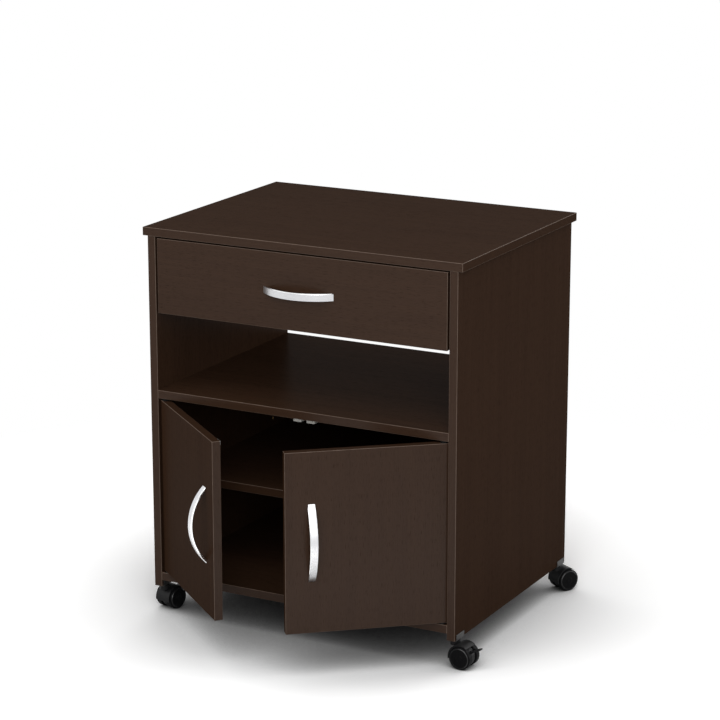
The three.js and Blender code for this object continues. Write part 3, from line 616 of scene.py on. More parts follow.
@dataclass(frozen=True)
class PlasticFinish(Finish):
    """A moulded plastic with a fine skin.

    Attributes:
        base, scuffed, rim_highlight: its colour, the same where it is scuffed, and the painted highlight on its glossy
            rim.
        grain, depth: waves per metre of its skin, and their depth in millimetres.
        dust: how dusty faces that look up are.
    """

    base: Colour = BLACK
    scuffed: Colour = BLACK
    # A rim painted lighter in this colour, as a highlight.
    rim_highlight: Colour = tone(24, 24, 25)
    grain: float = 1400.0
    depth: float = 0.02
    dust: float = 0.01

    def dress(self, bench: NodeBench, shader: Node, place: Socket) -> None:
        """Skin, faint scuffing, a painted highlight on the rim and a little dust.

        Args:
            bench: the material's bench.
            shader: its principled shader.
            place: the socket with the grain's place, in metres.
        """
        skin = SurfaceSkin().place(bench, {"Place": place, "Grain": self.grain})
        scuff = bench.times(skin.outputs["Tone"], 0.5)
        colour = bench.blend(scuff, self.base, self.scuffed)
        # Painted highlight: the rim is lightened, and the coat below also makes it really glossy.
        edge_highlight = EdgeHighlight().place(bench, {"Place": place, "Color": colour, "Highlight": self.rim_highlight, "Amount": 0.9})
        dust = DustFilm().place(
            bench,
            {"Place": place, "Color": edge_highlight.outputs["Color"], "Dust": tone(120, 114, 106), "Amount": self.dust},
        )
        bench.feed(shader.inputs["Base Color"], dust.outputs["Color"])
        rough = bench.spread(skin.outputs["Tone"], 0.0, 1.0, self.roughness, self.roughness + 0.12)
        bench.feed(shader.inputs["Roughness"], bench.math("ADD", rough, dust.outputs["Mask"]))
        bench.feed(shader.inputs["Coat Weight"], edge_highlight.outputs["Mask"])
        shader.inputs["Coat Roughness"].default_value = 0.25
        self.bump(bench, shader, skin.outputs["Height"], self.depth)


ESPRESSO_LIGHT = tone(55, 38, 27)
ESPRESSO_DARK = tone(49, 33, 23)
# The colour of the painted highlight on the boards' eased edges.
EDGE_HIGHLIGHT_TONE = tone(124, 107, 95)

BOARD_FACE = LaminateFinish("espresso_face", 0.55, 0.0, ESPRESSO_LIGHT, ESPRESSO_DARK, EDGE_HIGHLIGHT_TONE)
EDGE_BAND = LaminateFinish(
    "espresso_edge_band", 0.5, 0.0, ESPRESSO_LIGHT, ESPRESSO_DARK, EDGE_HIGHLIGHT_TONE, edge_highlight=0.7, pores=0.25, coat=0.33
)
CHIPBOARD = FibreFinish("chipboard_core", 0.85, 0.2, tone(196, 164, 118), tone(128, 94, 58), 1.6)
HARDBOARD = FibreFinish("hardboard_back", 0.8, 0.2, tone(104, 74, 50), tone(74, 50, 32), 0.5)
NICKEL = MetalFinish(
    "satin_nickel_brushed", 0.25, 0.5, tone(230, 230, 231), tone(200, 200, 203), brushed=True,
    polished_highlit_edges=True, depth=0.003, anisotropic=0.35,
)
ZINC = MetalFinish("zinc_plate", 0.36, 0.5, tone(198, 199, 200), tone(160, 162, 164), depth=0.008)
BRACKET_STEEL = MetalFinish(
    "dark_bracket_steel", 0.42, 0.4, tone(36, 34, 32), tone(27, 26, 25), metallic=0.0, depth=0.012
)
DARK_PIN = MetalFinish("dark_pin_steel", 0.4, 0.5, tone(40, 39, 38), tone(28, 27, 26), depth=0.008)
SCREW_STEEL = MetalFinish("screw_steel", 0.32, 0.5, tone(205, 203, 198), tone(150, 148, 142), depth=0.006)
ENAMEL = MetalFinish("cream_enamel", 0.42, 0.5, tone(226, 221, 208), tone(214, 208, 193), metallic=0.0, depth=0.02)
BLACK_MOULDING = PlasticFinish("black_moulding", 0.4, 0.13, tone(17, 17, 18), tone(29, 29, 30))
WHEEL_MOULDING = PlasticFinish("wheel_moulding", 0.45, 0.05, tone(9, 9, 10), tone(18, 18, 19), grain=1100.0)
WHITE_MOULDING = PlasticFinish(
    "white_moulding", 0.4, 0.5, tone(214, 212, 206), tone(200, 197, 189), depth=0.012, dust=0.05
)
BROWN_CAP = PlasticFinish("brown_cap", 0.45, 0.4, tone(58, 42, 33), tone(70, 54, 44))
FERRITE = PlasticFinish("ferrite_magnet", 0.7, 0.4, tone(46, 44, 43), tone(66, 63, 60), depth=0.04)


# ---------------------------------------------------------------- solids


def arc(radius: float, start: float, end: float, steps: int, centre: Point = (0.0, 0.0)) -> list[Point]:
    """Points of an arc between two angles in degrees, both ends included."""
    angles = [math.radians(start + (end - start) * i / steps) for i in range(steps + 1)]
    return [(centre[0] + radius * math.cos(a), centre[1] + radius * math.sin(a)) for a in angles]


def rounded(corners: Sequence[Triple], steps: int = 4) -> list[Point]:
    """A closed outline with rounded corners.

    Args:
        corners: each corner's two places and its radius.
        steps: chords to a corner.

    Returns:
        The outline's points.
    """
    points: list[Point] = []
    for i, (u, v, radius) in enumerate(corners):
        here = Vector((u, v))
        back = (Vector(corners[i - 1][:2]) - here).normalized()
        ahead = (Vector(corners[(i + 1) % len(corners)][:2]) - here).normalized()
        half = math.acos(max(-1.0, min(1.0, back.dot(ahead)))) / 2
        if radius <= 0:
            points.append((u, v))
            continue
        reach = radius / math.tan(half)
        centre = here + (back + ahead).normalized() * (radius / math.sin(half))
        first, last = here + back * reach - centre, here + ahead * reach - centre
        start, sweep = math.degrees(math.atan2(first.y, first.x)), math.degrees(first.angle_signed(last))
        points += arc(radius, start, start - sweep, steps, (centre.x, centre.y))
    return points


def centre_of(low: Vector, high: Vector) -> Triple:
    """The middle of the box between two corners."""
    return tuple((a + b) / 2 for a, b in zip(low, high))


def linked(name: str, data: Any) -> Thing:
    """A new object with this data, linked to the scene.

    Args:
        name: its name.
        data: its mesh, lamp or camera.

    Returns:
        The object.
    """
    made = bpy.data.objects.new(name, data)
    bpy.context.scene.collection.objects.link(made)
    return made


def cleared(thing: Thing) -> None:
    """Takes a scratch object and its mesh away.

    Args:
        thing: the scratch object.
    """
    mesh = thing.data
    bpy.data.objects.remove(thing)
    bpy.data.meshes.remove(mesh)


@contextmanager
def opened(mesh: bpy.types.Mesh) -> Iterator[bmesh.types.BMesh]:
    """Opens a mesh for work on its faces and edges, then writes it back.

    Args:
        mesh: the mesh.

    Yields:
        The mesh being worked.
    """
    work = bmesh.new()
    work.from_mesh(mesh)
    yield work
    work.to_mesh(mesh)
    work.free()


class Solid:
    """A closed mesh on the bench, in millimetres, that can be moved, eased, cut and joined."""

    def __init__(self, mesh: bpy.types.Mesh) -> None:
        """Takes the mesh over."""
        self.mesh = mesh

    @classmethod
    def of(cls, work: bmesh.types.BMesh, finish: Finish) -> "Solid":
        """Closes a worked mesh, turns its faces outward and gives it a finish.

        Args:
            work: the mesh being worked, which is freed.
            finish: the finish of all its faces.

        Returns:
            The solid.
        """
        bmesh.ops.remove_doubles(work, verts=work.verts, dist=WELD)
        bmesh.ops.recalc_face_normals(work, faces=work.faces)
        mesh = bpy.data.meshes.new("bench")
        work.to_mesh(mesh)
        work.free()
        mesh.materials.append(finish.material())
        return cls(mesh)

    @classmethod
    def block(cls, low: Sequence[float], high: Sequence[float], finish: Finish) -> "Solid":
        """A rectangular block between two corners.

        Args:
            low: the low corner.
            high: the high corner.
            finish: its finish.

        Returns:
            The solid.
        """
        work = bmesh.new()
        bmesh.ops.create_cube(work, size=1.0)
        for vertex in work.verts:
            vertex.co = Vector([high[i] if vertex.co[i] > 0 else low[i] for i in range(3)])
        return cls.of(work, finish)

    @classmethod
    def pushed(cls, outline: Sequence[Point], start: float, end: float, finish: Finish, axis: Axis) -> "Solid":
        """An outline pushed along an axis.

        Args:
            outline: closed outline in the other two axes, in the order x, y, z.
            start: where it starts on the axis.
            end: where it ends.
            finish: its finish.
            axis: the axis.

        Returns:
            The solid.
        """
        work = bmesh.new()
        rings = []
        for along in (start, end):
            places = [[u, v] for u, v in outline]
            for place in places:
                place.insert(axis.value, along)
            rings.append([work.verts.new(place) for place in places])
        work.faces.new(rings[0])
        work.faces.new(list(reversed(rings[1])))
        count = len(outline)
        for i in range(count):
            j = (i + 1) % count
            work.faces.new((rings[0][i], rings[1][i], rings[1][j], rings[0][j]))
        return cls.of(work, finish)

    @classmethod
    def turned(cls, profile: Sequence[Point], finish: Finish, steps: int = 48) -> "Solid":
        """A profile of radius and height turned about Z, from the axis back to it or closed.

        Args:
            profile: radius and height of each point.
            finish: its finish.
            steps: sides of the round.

        Returns:
            The solid.
        """
        work = bmesh.new()
        rings = []
        for radius, height in profile:
            if radius < 1e-6:
                rings.append([work.verts.new((0, 0, height))] * steps)
                continue
            angles = [2 * math.pi * i / steps for i in range(steps)]
            rings.append([work.verts.new((radius * math.cos(a), radius * math.sin(a), height)) for a in angles])
        closed = profile[0][0] > 1e-6
        for k in range(len(rings) if closed else len(rings) - 1):
            low, high = rings[k], rings[(k + 1) % len(rings)]
            for i in range(steps):
                j = (i + 1) % steps
                corners = list(dict.fromkeys((low[i], low[j], high[j], high[i])))
                if len(corners) > 2:
                    work.faces.new(corners)
        return cls.of(work, finish)

    @classmethod
    def rod(cls, radius: float, start: float, end: float, finish: Finish, steps: int = 32) -> "Solid":
        """A plain round rod about Z, between two heights."""
        return cls.turned([(0, start), (radius, start), (radius, end), (0, end)], finish, steps)

    def moved(self, turn: Matrix) -> "Solid":
        """Moves the solid, and keeps its faces outward when the move mirrors it.

        Args:
            turn: the move.

        Returns:
            The same solid.
        """
        self.mesh.transform(turn)
        if turn.determinant() < 0:
            self.mesh.flip_normals()
        return self

    def at(self, x: float, y: float, z: float, axis: Axis = Axis.Z) -> "Solid":
        """Lays the solid along an axis and carries it to a place."""
        return self.moved(axis.turn()).moved(Matrix.Translation((x, y, z)))

    def settled(self, prepare: Callable[[Thing], None]) -> "Solid":
        """Works the solid with modifiers and keeps the plain mesh that they give.

        Args:
            prepare: adds the modifiers to a scratch object.

        Returns:
            The same solid.
        """
        scratch = linked("scratch", self.mesh)
        prepare(scratch)
        graph = bpy.context.evaluated_depsgraph_get()
        made = bpy.data.meshes.new_from_object(scratch.evaluated_get(graph), depsgraph=graph)
        bpy.data.objects.remove(scratch)
        bpy.data.meshes.remove(self.mesh)
        self.mesh = made
        return self

    def eased(self, radius: float, segments: int = 2, angle: float = 35.0) -> "Solid":
        """Rounds every edge that turns more than an angle.

        Args:
            radius: the rounding.
            segments: its steps.
            angle: the least turn that is rounded, in degrees.

        Returns:
            The same solid.
        """

        def prepare(scratch: Thing) -> None:
            """Adds a bevel by angle.

            Args:
                scratch: the object that takes the modifiers.
            """
            bevel = scratch.modifiers.new("ease", "BEVEL")
            bevel.width, bevel.segments = radius, segments
            bevel.limit_method, bevel.angle_limit = "ANGLE", math.radians(angle)
            bevel.use_clamp_overlap = True

        return self.settled(prepare)

    def worked(self, operation: str, others: Sequence["Solid"]) -> "Solid":
        """Cuts other solids out of this one or fuses them with it.

        Args:
            operation: DIFFERENCE or UNION.
            others: the other solids, which are used up.

        Returns:
            The same solid.
        """
        tools = []

        def prepare(scratch: Thing) -> None:
            """Adds one boolean for each of the other solids.

            Args:
                scratch: the object that takes the modifiers.
            """
            for other in others:
                tools.append(linked("tool", other.mesh))
                step = scratch.modifiers.new("work", "BOOLEAN")
                step.object, step.operation, step.solver = tools[-1], operation, "EXACT"
                step.material_mode = "TRANSFER"

        self.settled(prepare)
        with opened(self.mesh) as work:
            bmesh.ops.dissolve_degenerate(work, edges=work.edges, dist=2e-3)
        for tool in tools:
            cleared(tool)
        return self

    def less(self, *cutters: "Solid") -> "Solid":
        """Cuts other solids out."""
        return self.worked("DIFFERENCE", cutters)

    def fused(self, *others: "Solid") -> "Solid":
        """Fuses other solids with this one."""
        return self.worked("UNION", others)

    def with_parts(self, *others: "Solid") -> "Solid":
        """Sets other solids beside this one in the same mesh, with their own finishes.

        Args:
            *others: the solids to add, which are used up.

        Returns:
            The same solid.
        """
        materials = list(self.mesh.materials)
        with opened(self.mesh) as work:
            for other in others:
                before = len(work.faces)
                work.from_mesh(other.mesh)
                work.faces.ensure_lookup_table()
                materials += [m for m in other.mesh.materials if m not in materials]
                numbers = [materials.index(material) for material in other.mesh.materials]
                for face in work.faces[before:]:
                    face.material_index = numbers[face.material_index]
                bpy.data.meshes.remove(other.mesh)
        self.mesh.materials.clear()
        for material in materials:
            self.mesh.materials.append(material)
        return self

    def faced(self, axis: Axis, finish: Finish, signs: Sequence[int] = (-1, 1)) -> "Solid":
        """Gives the flat faces square to an axis a finish of their own.

        Args:
            axis: the axis.
            finish: their finish.
            signs: which way along the axis they look.

        Returns:
            The same solid.
        """
        self.mesh.materials.append(finish.material())
        number = len(self.mesh.materials) - 1
        for face in self.mesh.polygons:
            if any(face.normal[axis.value] * sign > SQUARE for sign in signs):
                face.material_index = number
        return self


# ---------------------------------------------------------------- repeated things, by geometry nodes


def recipe_inputs(**kinds: str) -> dict[str, tuple[str, Any]]:
    """A recipe's inputs: the mesh that it starts from, its own and its material."""
    return {name: (kind, None) for name, kind in {"Geometry": SHAPE, **kinds, "Material": SURFACE}.items()}


class Recipe(NodeGroup):
    """A geometry node group. It is run once and leaves a plain mesh."""

    kind = "GeometryNodeTree"
    outputs = {"Geometry": SHAPE}

    @abstractmethod
    def shape(self, bench: NodeBench, given: Sockets) -> Socket:
        """Joins the recipe's nodes.

        Args:
            bench: the group's bench.
            given: input name to socket.

        Returns:
            The socket of the geometry to realize.
        """

    def wire(self, bench: NodeBench, given: Sockets) -> Sockets:
        """Realizes the shape's instances and sets their material.

        Args:
            bench: the group's bench.
            given: input name to socket.

        Returns:
            Output name to the socket that feeds it.
        """
        whole = bench.add("GeometryNodeRealizeInstances", {0: self.shape(bench, given)}).outputs[0]
        dressed = bench.add("GeometryNodeSetMaterial", {"Geometry": whole, "Material": given["Material"]})
        return {"Geometry": dressed.outputs[0]}

    def make(self, finish: Finish, values: dict[str, Any], base: bpy.types.Mesh | None = None) -> Solid:
        """Runs the recipe.

        Args:
            finish: the finish of what it makes.
            values: input name to value.
            base: the mesh that it starts from, if any.

        Returns:
            What it makes, as a solid.
        """
        tree = self.tree()
        numbers = {item.name: item.identifier for item in tree.interface.items_tree if item.in_out == "INPUT"}

        def prepare(scratch: Thing) -> None:
            """Adds the tree with its values set.

            Args:
                scratch: the object that takes the modifier.
            """
            step = scratch.modifiers.new("recipe", "NODES")
            step.node_group = tree
            for name, value in {**values, "Material": finish.material()}.items():
                step[numbers[name]] = value

        made = Solid(base or bpy.data.meshes.new("bench")).settled(prepare)
        with opened(made.mesh) as work:
            bmesh.ops.remove_doubles(work, verts=work.verts, dist=WELD)
        return made


class DrillRows(Recipe):
    """Two rows of drill holes, as the cylinders that cut them, side by side along Y."""

    name = "drill_rows"
    inputs = recipe_inputs(
        Count=WHOLE, Pitch=FLOAT, Radius=FLOAT, Depth=FLOAT, First=VECTOR, Second=VECTOR, Sides=WHOLE
    )

    def shape(self, bench: NodeBench, given: Sockets) -> Socket:
        """A line of points for each row, and a cylinder along X on each point.

        Args:
            bench: the group's bench.
            given: input name to socket.

        Returns:
            The geometry's socket.
        """
        step = bench.add("ShaderNodeCombineXYZ", {2: given["Pitch"]}).outputs[0]
        rows = bench.add("GeometryNodeJoinGeometry")
        for start in ("First", "Second"):
            inputs = {"Count": given["Count"], "Start Location": given[start], "Offset": step}
            bench.feed(rows.inputs[0], bench.add("GeometryNodeMeshLine", inputs).outputs[0])
        inputs = {"Vertices": given["Sides"], "Radius": given["Radius"], "Depth": given["Depth"]}
        drill = bench.add("GeometryNodeMeshCylinder", inputs).outputs[0]
        return bench.scatter(rows.outputs[0], drill, (0.0, math.pi / 2, 0.0))


class ScrewField(Recipe):
    """A screw on each point of a mesh, facing as the point says and turned at random."""

    name = "screw_field"
    inputs = recipe_inputs(Screw=THING, Seed=WHOLE)

    def shape(self, bench: NodeBench, given: Sockets) -> Socket:
        """Turns each screw's axis to its point's facing, then twists it.

        Args:
            bench: the group's bench.
            given: input name to socket.

        Returns:
            The geometry's socket.
        """
        screw = bench.add("GeometryNodeObjectInfo", {"Object": given["Screw"]}).outputs["Geometry"]
        facing = bench.add("GeometryNodeInputNamedAttribute", {"Name": FACING}, data_type="FLOAT_VECTOR")
        aimed = bench.add("FunctionNodeAlignRotationToVector", {"Vector": facing.outputs[0]}, axis="Z")
        twist = bench.add("FunctionNodeRandomValue", {"Seed": given["Seed"]}, data_type="FLOAT")
        twist.inputs[3].default_value = math.pi
        spin = bench.add("FunctionNodeAxisAngleToRotation", {"Axis": (0, 0, 1), "Angle": twist.outputs[1]})
        turned = bench.add(
            "FunctionNodeRotateRotation", {0: aimed.outputs[0], 1: spin.outputs[0]}, rotation_space="LOCAL"
        )
        return bench.scatter(given["Geometry"], screw, turned.outputs[0])


class NailedBorder(Recipe):
    """Nails at an even pitch round a rectangle that stands in the plane of X and Z."""

    name = "nailed_border"
    inputs = recipe_inputs(Width=FLOAT, Height=FLOAT, Count=WHOLE, Nail=THING)

    def shape(self, bench: NodeBench, given: Sockets) -> Socket:
        """Walks the rectangle, sets a nail at each step and stands the lot upright.

        Args:
            bench: the group's bench.
            given: input name to socket.

        Returns:
            The geometry's socket.
        """
        inputs = {"Width": given["Width"], "Height": given["Height"]}
        path = bench.add("GeometryNodeCurvePrimitiveQuadrilateral", inputs).outputs[0]
        points = bench.add("GeometryNodeCurveToPoints", {"Curve": path, "Count": given["Count"]}, mode="COUNT")
        nail = bench.add("GeometryNodeObjectInfo", {"Object": given["Nail"]}).outputs["Geometry"]
        inputs = {"Geometry": bench.scatter(points.outputs[0], nail), "Rotation": (-math.pi / 2, 0.0, 0.0)}
        return bench.add("GeometryNodeTransform", inputs).outputs[0]


class RibRing(Recipe):
    """Ribs that stand like spokes round the Z axis."""

    name = "rib_ring"
    inputs = recipe_inputs(Count=WHOLE, Reach=FLOAT, Rib=VECTOR)

    def shape(self, bench: NodeBench, given: Sockets) -> Socket:
        """A ring of points, and on each a block turned outward.

        Args:
            bench: the group's bench.
            given: input name to socket.

        Returns:
            The geometry's socket.
        """
        inputs = {"Vertices": given["Count"], "Radius": given["Reach"]}
        ring = bench.add("GeometryNodeMeshCircle", inputs).outputs[0]
        place = bench.add("GeometryNodeInputPosition").outputs[0]
        aimed = bench.add("FunctionNodeAlignRotationToVector", {"Vector": place}, axis="X", pivot_axis="Z")
        rib = bench.add("GeometryNodeMeshCube", {"Size": given["Rib"]}).outputs[0]
        return bench.scatter(ring, rib, aimed.outputs[0])


class BowStrap(Recipe):
    """A flat strap with eased edges, bent to an arc over its feet, which are cut flat at y = 0."""

    name = "bow_strap"
    inputs = recipe_inputs(
        Start=VECTOR, Crown=VECTOR, End=VECTOR, Width=FLOAT, Strap=FLOAT, Ease=FLOAT, Steps=WHOLE
    )

    def shape(self, bench: NodeBench, given: Sockets) -> Socket:
        """Sweeps an eased rectangle along the arc, then cuts away what lies behind the board's face.

        Args:
            bench: the group's bench.
            given: input name to socket.

        Returns:
            The geometry's socket.
        """
        ends = {"Start": given["Start"], "Middle": given["Crown"], "End": given["End"]}
        bow = bench.add("GeometryNodeCurveArc", {"Resolution": given["Steps"], **ends}, mode="POINTS").outputs[0]
        bow = bench.add("GeometryNodeSetCurveNormal", {0: bow}, mode="Z_UP").outputs[0]
        inputs = {"Width": given["Strap"], "Height": given["Width"]}
        section = bench.add("GeometryNodeCurvePrimitiveQuadrilateral", inputs).outputs[0]
        inputs = {"Curve": section, "Count": 1, "Radius": given["Ease"]}
        eased = bench.add("GeometryNodeFilletCurve", inputs, mode="POLY").outputs[0]
        inputs = {"Curve": bow, "Profile Curve": eased, "Fill Caps": True}
        strap = bench.add("GeometryNodeCurveToMesh", inputs).outputs[0]
        block = bench.add("GeometryNodeMeshCube", {"Size": (400.0, 100.0, 100.0)}).outputs[0]
        behind = bench.add("GeometryNodeTransform", {"Geometry": block, "Translation": (0, -50.0, 0)}).outputs[0]
        cut = bench.add("GeometryNodeMeshBoolean", operation="DIFFERENCE", solver="EXACT")
        bench.feed(cut.inputs["Mesh 1"], strap)
        bench.feed(cut.inputs["Mesh 2"], behind)
        return cut.outputs[0]


# ---------------------------------------------------------------- handing over


class Shop:
    """Knows where the cart stands and hands finished pieces over."""

    def __init__(self, top_overhang: float = 1.5) -> None:
        """Finds the cart's frame from the top panel.

        Args:
            top_overhang: how far the top stands out in front of the sides.
        """
        low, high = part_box("top_panel")
        self.origin = Vector(((low.x + high.x) / 2, low.y + top_overhang * MILLIMETRE, 0.0))
        self.into_model = Matrix.Translation(self.origin) @ Matrix.Scale(MILLIMETRE, 4)
        self.count = 0

    def box(self, node: str) -> tuple[Vector, Vector]:
        """The low and high corners of a node, in millimetres in the cart's frame."""
        low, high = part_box(node)
        return (low - self.origin) / MILLIMETRE, (high - self.origin) / MILLIMETRE

    def pivot(self, joint: str) -> Vector:
        """Where a joint turns, in millimetres in the cart's frame."""
        found = next(j for j in frame["joints"] if j["name"] == joint)
        return (Vector(found["pos_m"]) - self.origin) / MILLIMETRE

    def hand_over(
        self,
        solid: Solid,
        name: str,
        slot: Slot,
        *nodes: str,
        body: str = "cabinet",
        stand: Matrix | None = None,
        own: Matrix | None = None,
        edge: Callable[[Vector], float] | None = None,
    ) -> None:
        """Makes a solid a finished piece of the model.

        Args:
            solid: the solid, which is used up.
            name: the piece's name.
            slot: the record's material slot; not used.
            *nodes: the plain nodes that it stands for.
            body: the moving body that it rides on.
            stand: the move from where it was built to where it stands.
            own: the turn from where it was built to the grain's own frame.
            edge: the mask of its eased edges at a point, 0 to 1, where a painted highlight and more gloss are laid.
        """

        def prepare(scratch: Thing) -> None:
            """Keeps flat faces flat in the shading, next to their eased edges."""
            weight = scratch.modifiers.new("normals", "WEIGHTED_NORMAL")
            weight.keep_sharp, weight.weight = True, NORMAL_WEIGHT

        self.shade(solid.mesh)
        solid.settled(prepare)
        mesh = solid.mesh
        for stray in [a.name for a in mesh.attributes if a.name.startswith("UVMap")]:
            mesh.attributes.remove(mesh.attributes[stray])
        turn, apart = own or Matrix.Identity(4), GRAIN_STEP * float(self.count)
        places, edges = [], []
        for vertex in mesh.vertices:
            places += list((turn @ vertex.co) * MILLIMETRE + apart)
            edges.append(edge(vertex.co) if edge else 0.0)
        mesh.attributes.new(PLACE, "FLOAT_VECTOR", "POINT").data.foreach_set("vector", places)
        mesh.attributes.new(EDGE, "FLOAT", "POINT").data.foreach_set("value", edges)
        mesh.transform(self.into_model @ (stand or Matrix.Identity(4)))
        mesh.name = name
        made = linked(name, mesh)
        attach(made, body)
        if nodes:
            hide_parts(*nodes)
        self.count += 1
        LOG.info("%s: %d faces on %s", name, len(mesh.polygons), body)

    def hand_over_board(self, board: "Board", solid: Solid, low: Vector, high: Vector) -> None:
        """Hands over a board that was cut between two corners."""
        extra = {"body": board.body, "own": board.own(), "edge": board.edge_of(low, high)}
        self.hand_over(solid, board.piece, Slot.LAMINATE, board.node, **extra)

    @staticmethod
    def shade(mesh: bpy.types.Mesh, angle: float = 40.0) -> None:
        """Shades a mesh smooth, with hard edges where its faces turn more than an angle.

        Args:
            mesh: the mesh.
            angle: the least turn of a hard edge, in degrees.
        """
        with opened(mesh) as work:
            for face in work.faces:
                face.smooth = True
            for line in work.edges:
                line.smooth = line.calc_face_angle(math.pi) < math.radians(angle)


# ---------------------------------------------------------------- fastenings


@dataclass(frozen=True)
class Fastenings:
    """Screws, nails and caps, made once and set wherever they are needed.

    Attributes:
        pan_radius, pan_height: of a pan head.
        flush_radius, nail_radius, cap_radius: of a flush head, a nail's head and a cam fitting's cap.
    """

    pan_radius: float = 3.4
    pan_height: float = 1.8
    flush_radius: float = 3.1
    nail_radius: float = 1.9
    cap_radius: float = 8.5

    def cross(self, reach: float, low: float, high: float) -> list[Solid]:
        """The two blades that cut a cross recess of this reach, from low to high."""
        sides = ((reach, reach * 0.24), (reach * 0.24, reach))
        return [Solid.block((-u, -v, low), (u, v, high), SCREW_STEEL) for u, v in sides]

    def pan_screw(self) -> Solid:
        """A pan head with a cross recess, seated at z = 0 and facing up.

        Returns:
            The screw's head.
        """
        r, h = self.pan_radius, self.pan_height
        profile = [
            (0, -0.6), (r * 0.5, -0.6), (r * 0.5, 0), (r, 0), (r, h * 0.3), (r * 0.9, h * 0.66),
            (r * 0.62, h * 0.93), (0, h),
        ]
        return Solid.turned(profile, SCREW_STEEL, 24).less(*self.cross(r * 0.56, h * 0.35, h + 1))

    def flush_screw(self) -> Solid:
        """A countersunk head that stands barely proud.

        Returns:
            The screw's head.
        """
        r = self.flush_radius
        profile = [(0, -1.4), (r * 0.5, -1.4), (r * 0.95, -0.1), (r, 0.1), (r * 0.9, 0.22), (0, 0.26)]
        return Solid.turned(profile, SCREW_STEEL, 24).less(*self.cross(r * 0.6, -0.7, 1))

    def nail(self) -> Solid:
        """A small round nail head."""
        r = self.nail_radius
        return Solid.turned([(0, -1), (0.6, -1), (0.6, 0), (r, 0), (r * 0.9, 0.35), (0, 0.5)], SCREW_STEEL, 12)

    def cap(self) -> Solid:
        """A shallow moulded cap over a cam fitting, with a pry notch in its rim.

        Returns:
            The cap.
        """
        r = self.cap_radius
        profile = [(0, -2), (6, -2), (6, 0), (r, 0), (r, 0.25), (r - 0.5, 0.6), (r * 0.5, 0.78), (0, 0.8)]
        notch = Solid.block((r - 0.9, -1.1, -0.1), (r + 1, 1.1, 1), BROWN_CAP)
        return Solid.turned(profile, BROWN_CAP, 32).less(notch)

    def field(self, screw: Solid, places: Sequence[tuple[Triple, Triple]], finish: Finish, seed: int) -> Solid:
        """Sets a screw at each place.

        Args:
            screw: the screw, facing up at the origin.
            places: the seat and facing of each one.
            finish: their finish.
            seed: chooses how they are turned.

        Returns:
            All of them, as one solid.
        """
        base = bpy.data.meshes.new("seats")
        base.from_pydata([place for place, _ in places], [], [])
        facings = [value for _, facing in places for value in facing]
        base.attributes.new(FACING, "FLOAT_VECTOR", "POINT").data.foreach_set("vector", facings)
        pattern = linked("pattern", screw.mesh)
        made = ScrewField().make(finish, {"Screw": pattern, "Seed": seed}, base)
        cleared(pattern)
        return made

    def pans(self, seats: Sequence[tuple[Triple, Triple]], seed: int) -> Solid:
        """A pan-head screw at each seat."""
        return self.field(self.pan_screw(), seats, SCREW_STEEL, seed)

    def flushes(self, seats: Sequence[tuple[Triple, Triple]], seed: int, finish: Finish) -> Solid:
        """A flush screw of this finish at each seat."""
        return self.field(self.flush_screw(), seats, finish, seed)


@dataclass
class SubAssembly(ABC):
    """A part of the cart that is built and dressed in one go.

    Attributes:
        shop: hands the finished pieces over.
        fastenings: gives the screws, nails and caps.
    """

    shop: Shop
    fastenings: Fastenings

    @abstractmethod
    def build(self) -> None:
        """Builds and dresses all of it."""


# ---------------------------------------------------------------- boards


@dataclass(frozen=True)
class Board:
    """A laminated board with edge band and eased edges.

    Attributes:
        node, piece, body: its plain node, the finished piece's name and the body that it rides on.
        through, grain: the axes through its thickness and along its grain.
        banded: the sides whose edges are eased most, as signed axis letters.
        ease, tight: radius of those edges and of the others.
    """

    node: str
    piece: str
    through: Axis
    grain: Axis
    body: str = "cabinet"
    banded: str = "-y"
    ease: float = 0.9
    tight: float = 0.3

    def is_banded(self, normal: Vector) -> bool:
        """Whether a face with this normal is one of the banded sides.

        Args:
            normal: the face's normal.

        Returns:
            True on a banded side.
        """
        signed = {sign + letter: (i, s) for i, letter in enumerate("xyz") for sign, s in (("-", -1), ("+", 1))}
        words = [self.banded[i : i + 2] for i in range(0, len(self.banded), 2)]
        return any(normal[signed[w][0]] * signed[w][1] > 0.9 for w in words)

    def solid(self, low: Vector, high: Vector) -> Solid:
        """Cuts the board to size, eases its edges and lays its finishes on.

        Args:
            low: its low corner.
            high: its high corner.

        Returns:
            The board.
        """
        made = Solid.block(low, high, EDGE_BAND)
        with opened(made.mesh) as work:
            layer = work.edges.layers.float.new("bevel_weight_edge")
            for line in work.edges:
                soft = any(self.is_banded(face.normal) for face in line.link_faces)
                line[layer] = 1.0 if soft else self.tight / self.ease

        def prepare(scratch: Thing) -> None:
            """Adds a bevel by weight."""
            bevel = scratch.modifiers.new("ease", "BEVEL")
            bevel.width, bevel.segments, bevel.limit_method = self.ease, 3, "WEIGHT"

        return made.settled(prepare).faced(self.through, BOARD_FACE)

    def own(self) -> Matrix:
        """The turn into the grain's own frame: along, across and through."""
        across = next(a for a in Axis if a not in (self.through, self.grain))
        return Matrix([a.vector() for a in (self.grain, across, self.through)]).to_4x4()

    @staticmethod
    def edge_of(low: Vector, high: Vector) -> Callable[[Vector], float]:
        """The mask of a board's eased edges, where the painted highlight is laid: 1 between its flat faces and 0 on
        them.

        Args:
            low: the board's low corner.
            high: its high corner.

        Returns:
            A function from a point to the mask there.
        """

        def mask(point: Vector) -> float:
            """1 where the point lies on none of the board's six planes."""
            on = any(min(abs(point[i] - low[i]), abs(point[i] - high[i])) < 1e-3 for i in range(3))
            return 0.0 if on else 1.0

        return mask


